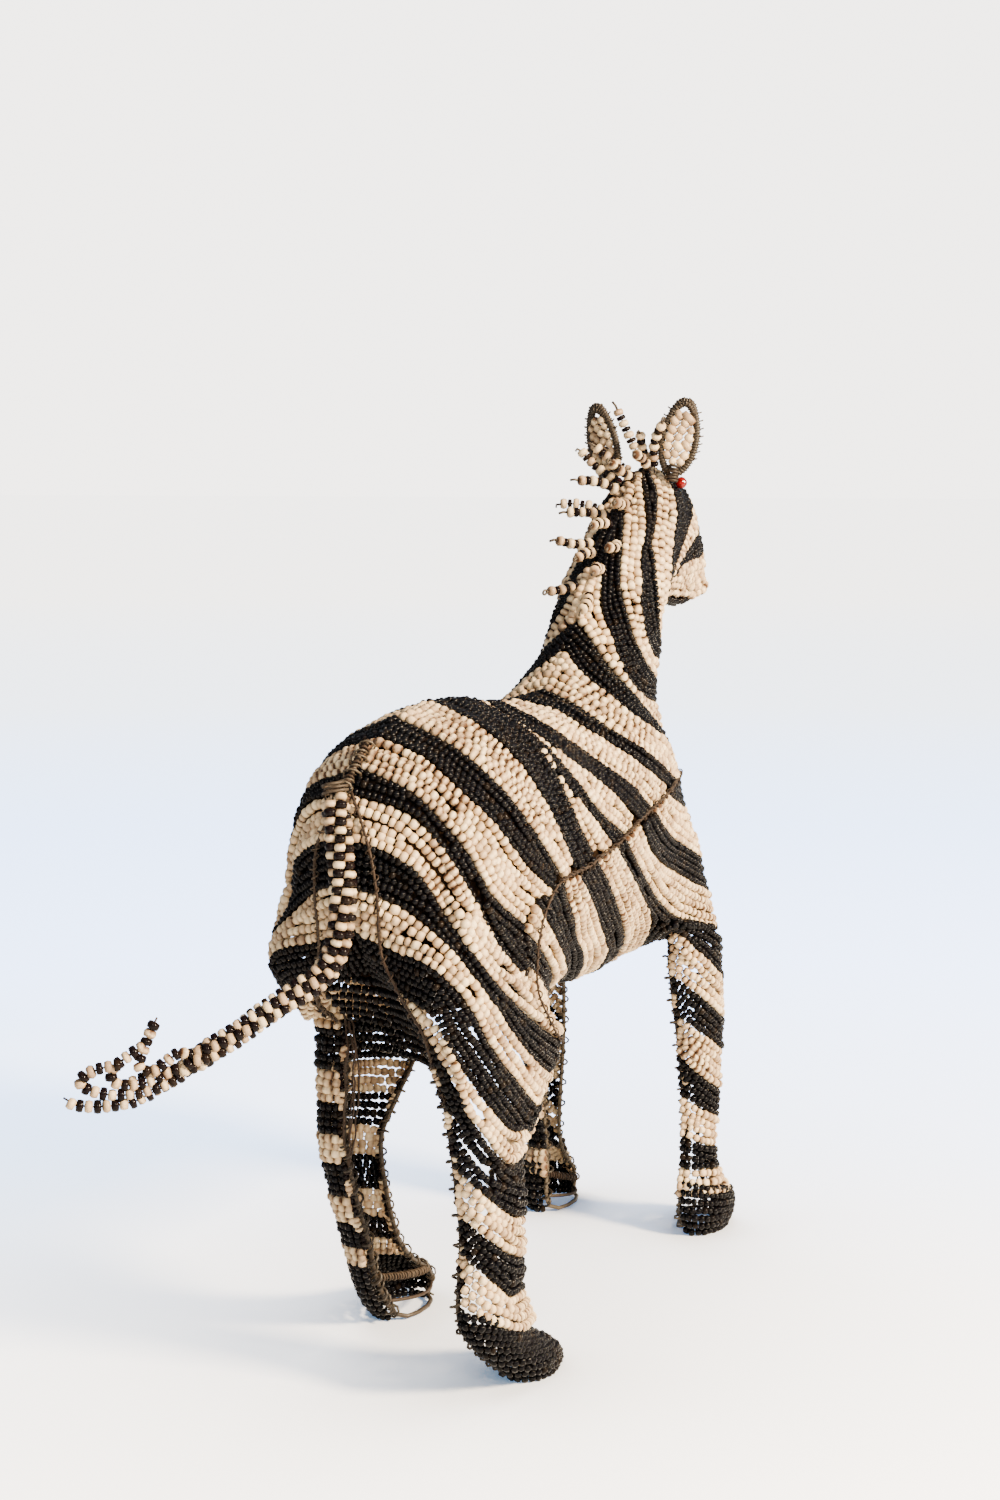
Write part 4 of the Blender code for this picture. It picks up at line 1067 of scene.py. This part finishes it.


# Age: the dark mix is the joint times (0.55 + patch), painted shade between beads with some dirt, plus 0.35
# times speck times patch, real dirt, all times the socket for both; rust is the Rust socket times (fine noise +
# 0.35). Each mixes its own colour in.
def buildAgeGroup():
    group = bpy.data.node_groups.new("age", "ShaderNodeTree")
    for kind, names in (("Color", ("Colour", "Grime And Shade Colour", "Rust Colour")),
                        ("Float", ("Joint Dirt And Shade", "Rust", "Grime And Shade", "Scale"))):
        for name in names:
            group.interface.new_socket(name, in_out="INPUT", socket_type="NodeSocket" + kind)
    group.interface.new_socket("Colour", in_out="OUTPUT", socket_type="NodeSocketColor")
    group.interface.new_socket("Dirt And Shade", in_out="OUTPUT", socket_type="NodeSocketFloat")
    enter = group.nodes.new("NodeGroupInput").outputs
    leave = group.nodes.new("NodeGroupOutput")
    fine = objectNoise(group, maths(group, "MULTIPLY", enter["Scale"], 14.0), 4.0)
    patch = mapRange(group, objectNoise(group, enter["Scale"], 3.0), 0.42, 0.68)
    speck = mapRange(group, fine, 0.50, 0.66)
    # Painted shade between beads with some dirt: the joint mask times (0.55 + patch)
    jointDirtAndShade = maths(group, "MULTIPLY", enter["Joint Dirt And Shade"], maths(group, "ADD", patch, 0.55))
    both = maths(group, "MULTIPLY_ADD", maths(group, "MULTIPLY", speck, patch), 0.35, jointDirtAndShade)
    dirtAndShade = maths(group, "MULTIPLY", both, enter["Grime And Shade"], clamp=True)
    grimyAndShaded = mixColours(group, dirtAndShade, enter["Colour"], enter["Grime And Shade Colour"])
    stain = maths(group, "MULTIPLY", enter["Rust"], maths(group, "ADD", fine, 0.35), clamp=True)
    setInputs(leave, {"Colour": mixColours(group, stain, grimyAndShaded, enter["Rust Colour"]),
                      "Dirt And Shade": maths(group, "MAXIMUM", dirtAndShade, stain)})
    return group


ageGroup = buildAgeGroup()
# Each finish's dark colour and its amount serve both dirt specks and painted shade at the bead joints
finishes = {
    "cream": {"tones": [(0.0, (0.38, 0.26, 0.155)), (0.2, (0.58, 0.41, 0.24)), (0.55, (0.75, 0.55, 0.325)),
                        (1.0, (0.90, 0.71, 0.44))],
              "grimeAndShade": (0.075, 0.032, 0.012), "rust": (0.11, 0.036, 0.012), "amount": 1.35, "scale": 45.0,
              "roughness": (0.34, 0.65), "gloss": 0.35, "bump": 0.12, "ior": 1.45},
    "black": {"tones": [(0.0, (0.001, 0.001, 0.002)), (0.85, (0.002, 0.002, 0.0025)),
                        (1.0, (0.008, 0.005, 0.003))],
              "grimeAndShade": (0.006, 0.003, 0.0015), "rust": (0.03, 0.010, 0.005), "amount": 0.5, "scale": 45.0,
              "roughness": (0.10, 0.28), "gloss": 0.5, "bump": 0.02, "ior": 1.19},
    "wire": {"tones": [(0.0, (0.026, 0.021, 0.015)), (0.6, (0.058, 0.046, 0.032)), (1.0, (0.15, 0.12, 0.08))],
             "grimeAndShade": (0.020, 0.013, 0.008), "rust": (0.028, 0.013, 0.006), "amount": 1.6, "scale": 70.0,
             "roughness": (0.32, 0.75), "gloss": 0.4, "bump": 0.3, "ior": 1.45},
}


# Glass and wire finishes share one build: tone by bead, age over it with dirt, rust and painted shade at bead
# joints, roughness from dirt and that shade, a little bump.
def beadFinish(name, finish, metallic=0.0):
    made, tree, shader = nodeMaterial(name)
    look = addNode(tree, "ShaderNodeAttribute", attribute_name="beadLook").outputs["Color"]
    tone, jointDirtAndShade, rust = addNode(tree, "ShaderNodeSeparateColor", {0: look}).outputs
    age = addNode(tree, "ShaderNodeGroup", node_tree=ageGroup)
    setInputs(age, {
        "Colour": toneRamp(tree, tone, finish["tones"]), "Joint Dirt And Shade": jointDirtAndShade, "Rust": rust,
        "Grime And Shade Colour": (*finish["grimeAndShade"], 1), "Rust Colour": (*finish["rust"], 1),
        "Grime And Shade": finish["amount"], "Scale": finish["scale"],
    })
    bump = addNode(tree, "ShaderNodeBump", {
        "Strength": finish["bump"], "Distance": 0.0004, "Height": objectNoise(tree, 1400.0, 3.0)})
    setInputs(shader, {
        "Base Color": age.outputs["Colour"], "Specular IOR Level": finish["gloss"], "IOR": finish["ior"],
        "Roughness": mapRange(tree, age.outputs["Dirt And Shade"], 0.0, 1.0, *finish["roughness"]),
        "Metallic": metallic, "Normal": bump.outputs[0],
    })
    return made


# A plain finish: noise between two colours.
def noiseFinish(name, scale, detail, colours, roughness, gloss):
    made, tree, shader = nodeMaterial(name)
    tones = [(0.0, colours[0]), (1.0, colours[1])]
    setInputs(shader, {"Base Color": toneRamp(tree, objectNoise(tree, scale, detail), tones),
                       "Roughness": roughness, "Specular IOR Level": gloss})
    return made


creamLook = beadFinish("cream glass beads", finishes["cream"])
blackLook = beadFinish("black glass beads", finishes["black"])
wireLook = beadFinish("old wire", finishes["wire"], metallic=0.35)
# Near-black colours of the sheet that paints the shade inside the hollow body
shadeLiningLook = noiseFinish("painted shade inside the skin", 300.0, 3.0, [(0.003, 0.002, 0.0015), (0.020, 0.011, 0.006)],
                         0.9, 0.0)
redLook = noiseFinish("red glass bead", 900.0, 2.0, [(0.04, 0.001, 0.001), (0.24, 0.004, 0.004)], 0.12, 0.3)

# Pieces: every one rides on the body and stands for the CAD node it covers
maneNodes = [f"mane_string_{k:02d}" for k in range(1, 19)]


# CAD nodes that a piece stands for, told from its name.
def nodesFor(name):
    side = name.split("_")[-1]
    known = {"tail": ["tail"], "mane": maneNodes, "ear_beads": ["ear_" + side],
             "ear_wires": ["ear_rim_" + side], "leg_wires": [name.replace("leg_wires", "frame_wire")]}
    for start, nodes in known.items():
        if name.startswith(start):
            return nodes
    return ["body_beadwork"]


# A piece rides on the body and stands for its nodes.
def settle(obj, nodes):
    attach(obj, "root")
    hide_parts(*nodes)


# Templates: cream beads, black beads, and the black discs of the tail and the mane
roundBead = beadTemplate(8, [(-0.80, 0.83), (0.0, 1.03), (0.80, 0.83)])
smallBead = beadTemplate(6, [(-0.80, 0.84), (0.0, 1.06), (0.80, 0.84)])
discBead = beadTemplate(8, [(-0.72, 0.90), (0.0, 1.0), (0.72, 0.90)])
for name, sets in beadStore.items():
    black = "black" in name
    template = discBead if name in ("tail_black", "mane_black") else smallBead if black else roundBead
    obj = beadObject(name, sets, template, blackLook if black else creamLook)
    settle(obj, nodesFor(name))
print("beads made")
for name, sets in wireStore.items():
    settle(wireObject(name, sets, wireLook), nodesFor(name))
settle(shadeLiningObject(shadeLiningLook), ["body_beadwork"])
eyes = {"radius": 2.15, "inward": 2.4}
for side in ("left", "right"):
    low, high = (np.array(v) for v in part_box("eye_" + side))
    middle = ((low + high) / 2 - boxShift) / unit
    middle = np.array([-middle[1], middle[0], middle[2]])
    middle[1] -= math.copysign(eyes["inward"], middle[1])
    settle(eyeObject("eye_bead_" + side, middle, eyes["radius"], redLook), ["eye_" + side])
print("wires, lining and eyes made")
print("wires, lining and eyes made")

# Stage: one wide plain floor under a pale sky. Both look brighter to the eye than the light they give. The
# floor's seen brightness goes by its distance from a centre, with a painted bluish shadow where the figure
# stands close
stage = {"size": 60.0, "floor": (0.84, 0.86, 0.90), "sky": (0.88, 0.94, 1.0), "strength": (0.85, 0.22),
         "skySeen": (4.6, 4.4, 4.2), "shade": (0.02, 0.05, 0.09), "reach": 0.2, "open": 0.52,
         "centre": (-0.3134, 0.6073, 0.0), "tintScale": 6.0,
         "tints": [(0.5, (3.9, 3.6, 3.3)), (0.72, (3.0, 3.1, 3.4)), (0.86, (2.2, 2.9, 4.2)),
                   (1.2, (2.2, 3.4, 6.0)), (1.7, (2.2, 3.3, 5.6)), (2.6, (3.2, 3.5, 4.0)),
                   (5.0, (3.96, 3.76, 3.55))]}
floorColours = [tuple(v * 0.98 for v in stage["floor"]), stage["floor"]]
stageLook = noiseFinish("studio floor", 1.2, 1.0, floorColours, 0.7, 0.2)
stageTree = stageLook.node_tree
stageWhere = stageTree.nodes.new("ShaderNodeTexCoord").outputs["Object"]
stageFar = addNode(stageTree, "ShaderNodeVectorMath", {0: stageWhere, 1: stage["centre"]}, operation="DISTANCE")
near, far = stage["tints"][0][0], stage["tints"][-1][0]
tints = [((distance - near) / (far - near), tuple(v / stage["tintScale"] for v in colour))
         for distance, colour in stage["tints"]]
stageTint = toneRamp(stageTree, mapRange(stageTree, stageFar.outputs["Value"], near, far), tints)
# Painted shadow: the floor's glow is darkened toward a bluish shade where the figure stands within reach
stageNear = addNode(stageTree, "ShaderNodeAmbientOcclusion", {"Distance": stage["reach"]}, samples=8)
stageOpen = mapRange(stageTree, stageNear.outputs["AO"], stage["open"])
stageShade = mixColours(stageTree, stageOpen, (*stage["shade"], 1), (1, 1, 1, 1))
stageRay = stageTree.nodes.new("ShaderNodeLightPath").outputs["Is Camera Ray"]
setInputs(stageTree.nodes["Principled BSDF"], {
    "Emission Color": mixColours(stageTree, 1.0, stageTint, stageShade, "MULTIPLY"),
    "Emission Strength": maths(stageTree, "MULTIPLY", stageRay, stage["tintScale"]),
})
half = stage["size"] / 2
floorMesh = bpy.data.meshes.new("floor")
corners = [(-half, -half, 0), (half, -half, 0), (half, half, 0), (-half, half, 0)]
floorMesh.from_pydata(corners, [], [(0, 1, 2, 3)])
floorMesh.materials.append(stageLook)
floor = bpy.data.objects.new("floor", floorMesh)
bpy.context.scene.collection.objects.link(floor)

# The sky gives more light from the animal's right (-X) than from its left
world = bpy.data.worlds.new("studio")
bpy.context.scene.world = world
world.use_nodes = True
sky = world.node_tree
skyWay = sky.nodes.new("ShaderNodeTexCoord").outputs["Generated"]
skySplit = addNode(sky, "ShaderNodeSeparateXYZ", {0: skyWay})
setInputs(sky.nodes["Background"], {
    0: (*stage["sky"], 1), 1: mapRange(sky, skySplit.outputs["X"], -1.0, 1.0, *stage["strength"])})
skySeen = addNode(sky, "ShaderNodeBackground", {0: (*stage["skySeen"], 1), 1: 1.0})
skyRay = sky.nodes.new("ShaderNodeLightPath").outputs["Is Camera Ray"]
skyMix = addNode(sky, "ShaderNodeMixShader", {
    0: skyRay, 1: sky.nodes["Background"].outputs[0], 2: skySeen.outputs[0]})
setInputs(sky.nodes["World Output"], {0: skyMix.outputs[0]})

# Area lights: place, side length, power and colour; both aim at a point above the floor's middle
lightAim = (0, 0, 0.12)
lights = {
    "warm key": {"spot": (-1.25, 0.05, 0.85), "size": 0.24, "power": 116, "colour": (1.0, 0.79, 0.54)},
    "soft front": {"spot": (-0.7, 1.3, 1.1), "size": 0.5, "power": 15, "colour": (1.0, 0.93, 0.84)},
}
for name, light in lights.items():
    data = bpy.data.lights.new(name, "AREA")
    data.size, data.energy, data.color = light["size"], light["power"], light["colour"]
    lamp = bpy.data.objects.new(name, data)
    lamp.location = light["spot"]
    lamp.rotation_euler = (Vector(lightAim) - Vector(light["spot"])).to_track_quat("-Z", "Y").to_euler()
    bpy.context.scene.collection.objects.link(lamp)

# Camera: the photograph's viewpoint in form units
camera = {"spot": (-622.3, -308.8, 264.0), "aim": (0.4506, -0.8844, -0.12187), "lens": 52.8, "sensor": 36.0,
          "clip": (0.01, 80.0)}
cameraData = bpy.data.cameras.new("camera")
cameraObject = bpy.data.objects.new("camera", cameraData)
bpy.context.scene.collection.objects.link(cameraObject)
bpy.context.scene.camera = cameraObject
cameraData.lens = camera["lens"]
cameraData.sensor_width = camera["sensor"]
cameraData.clip_start, cameraData.clip_end = camera["clip"]
cameraObject.location = place(camera["spot"])
cameraObject.rotation_euler = Vector(camera["aim"]).to_track_quat("-Z", "Y").to_euler()
print("stage, lights and camera set")
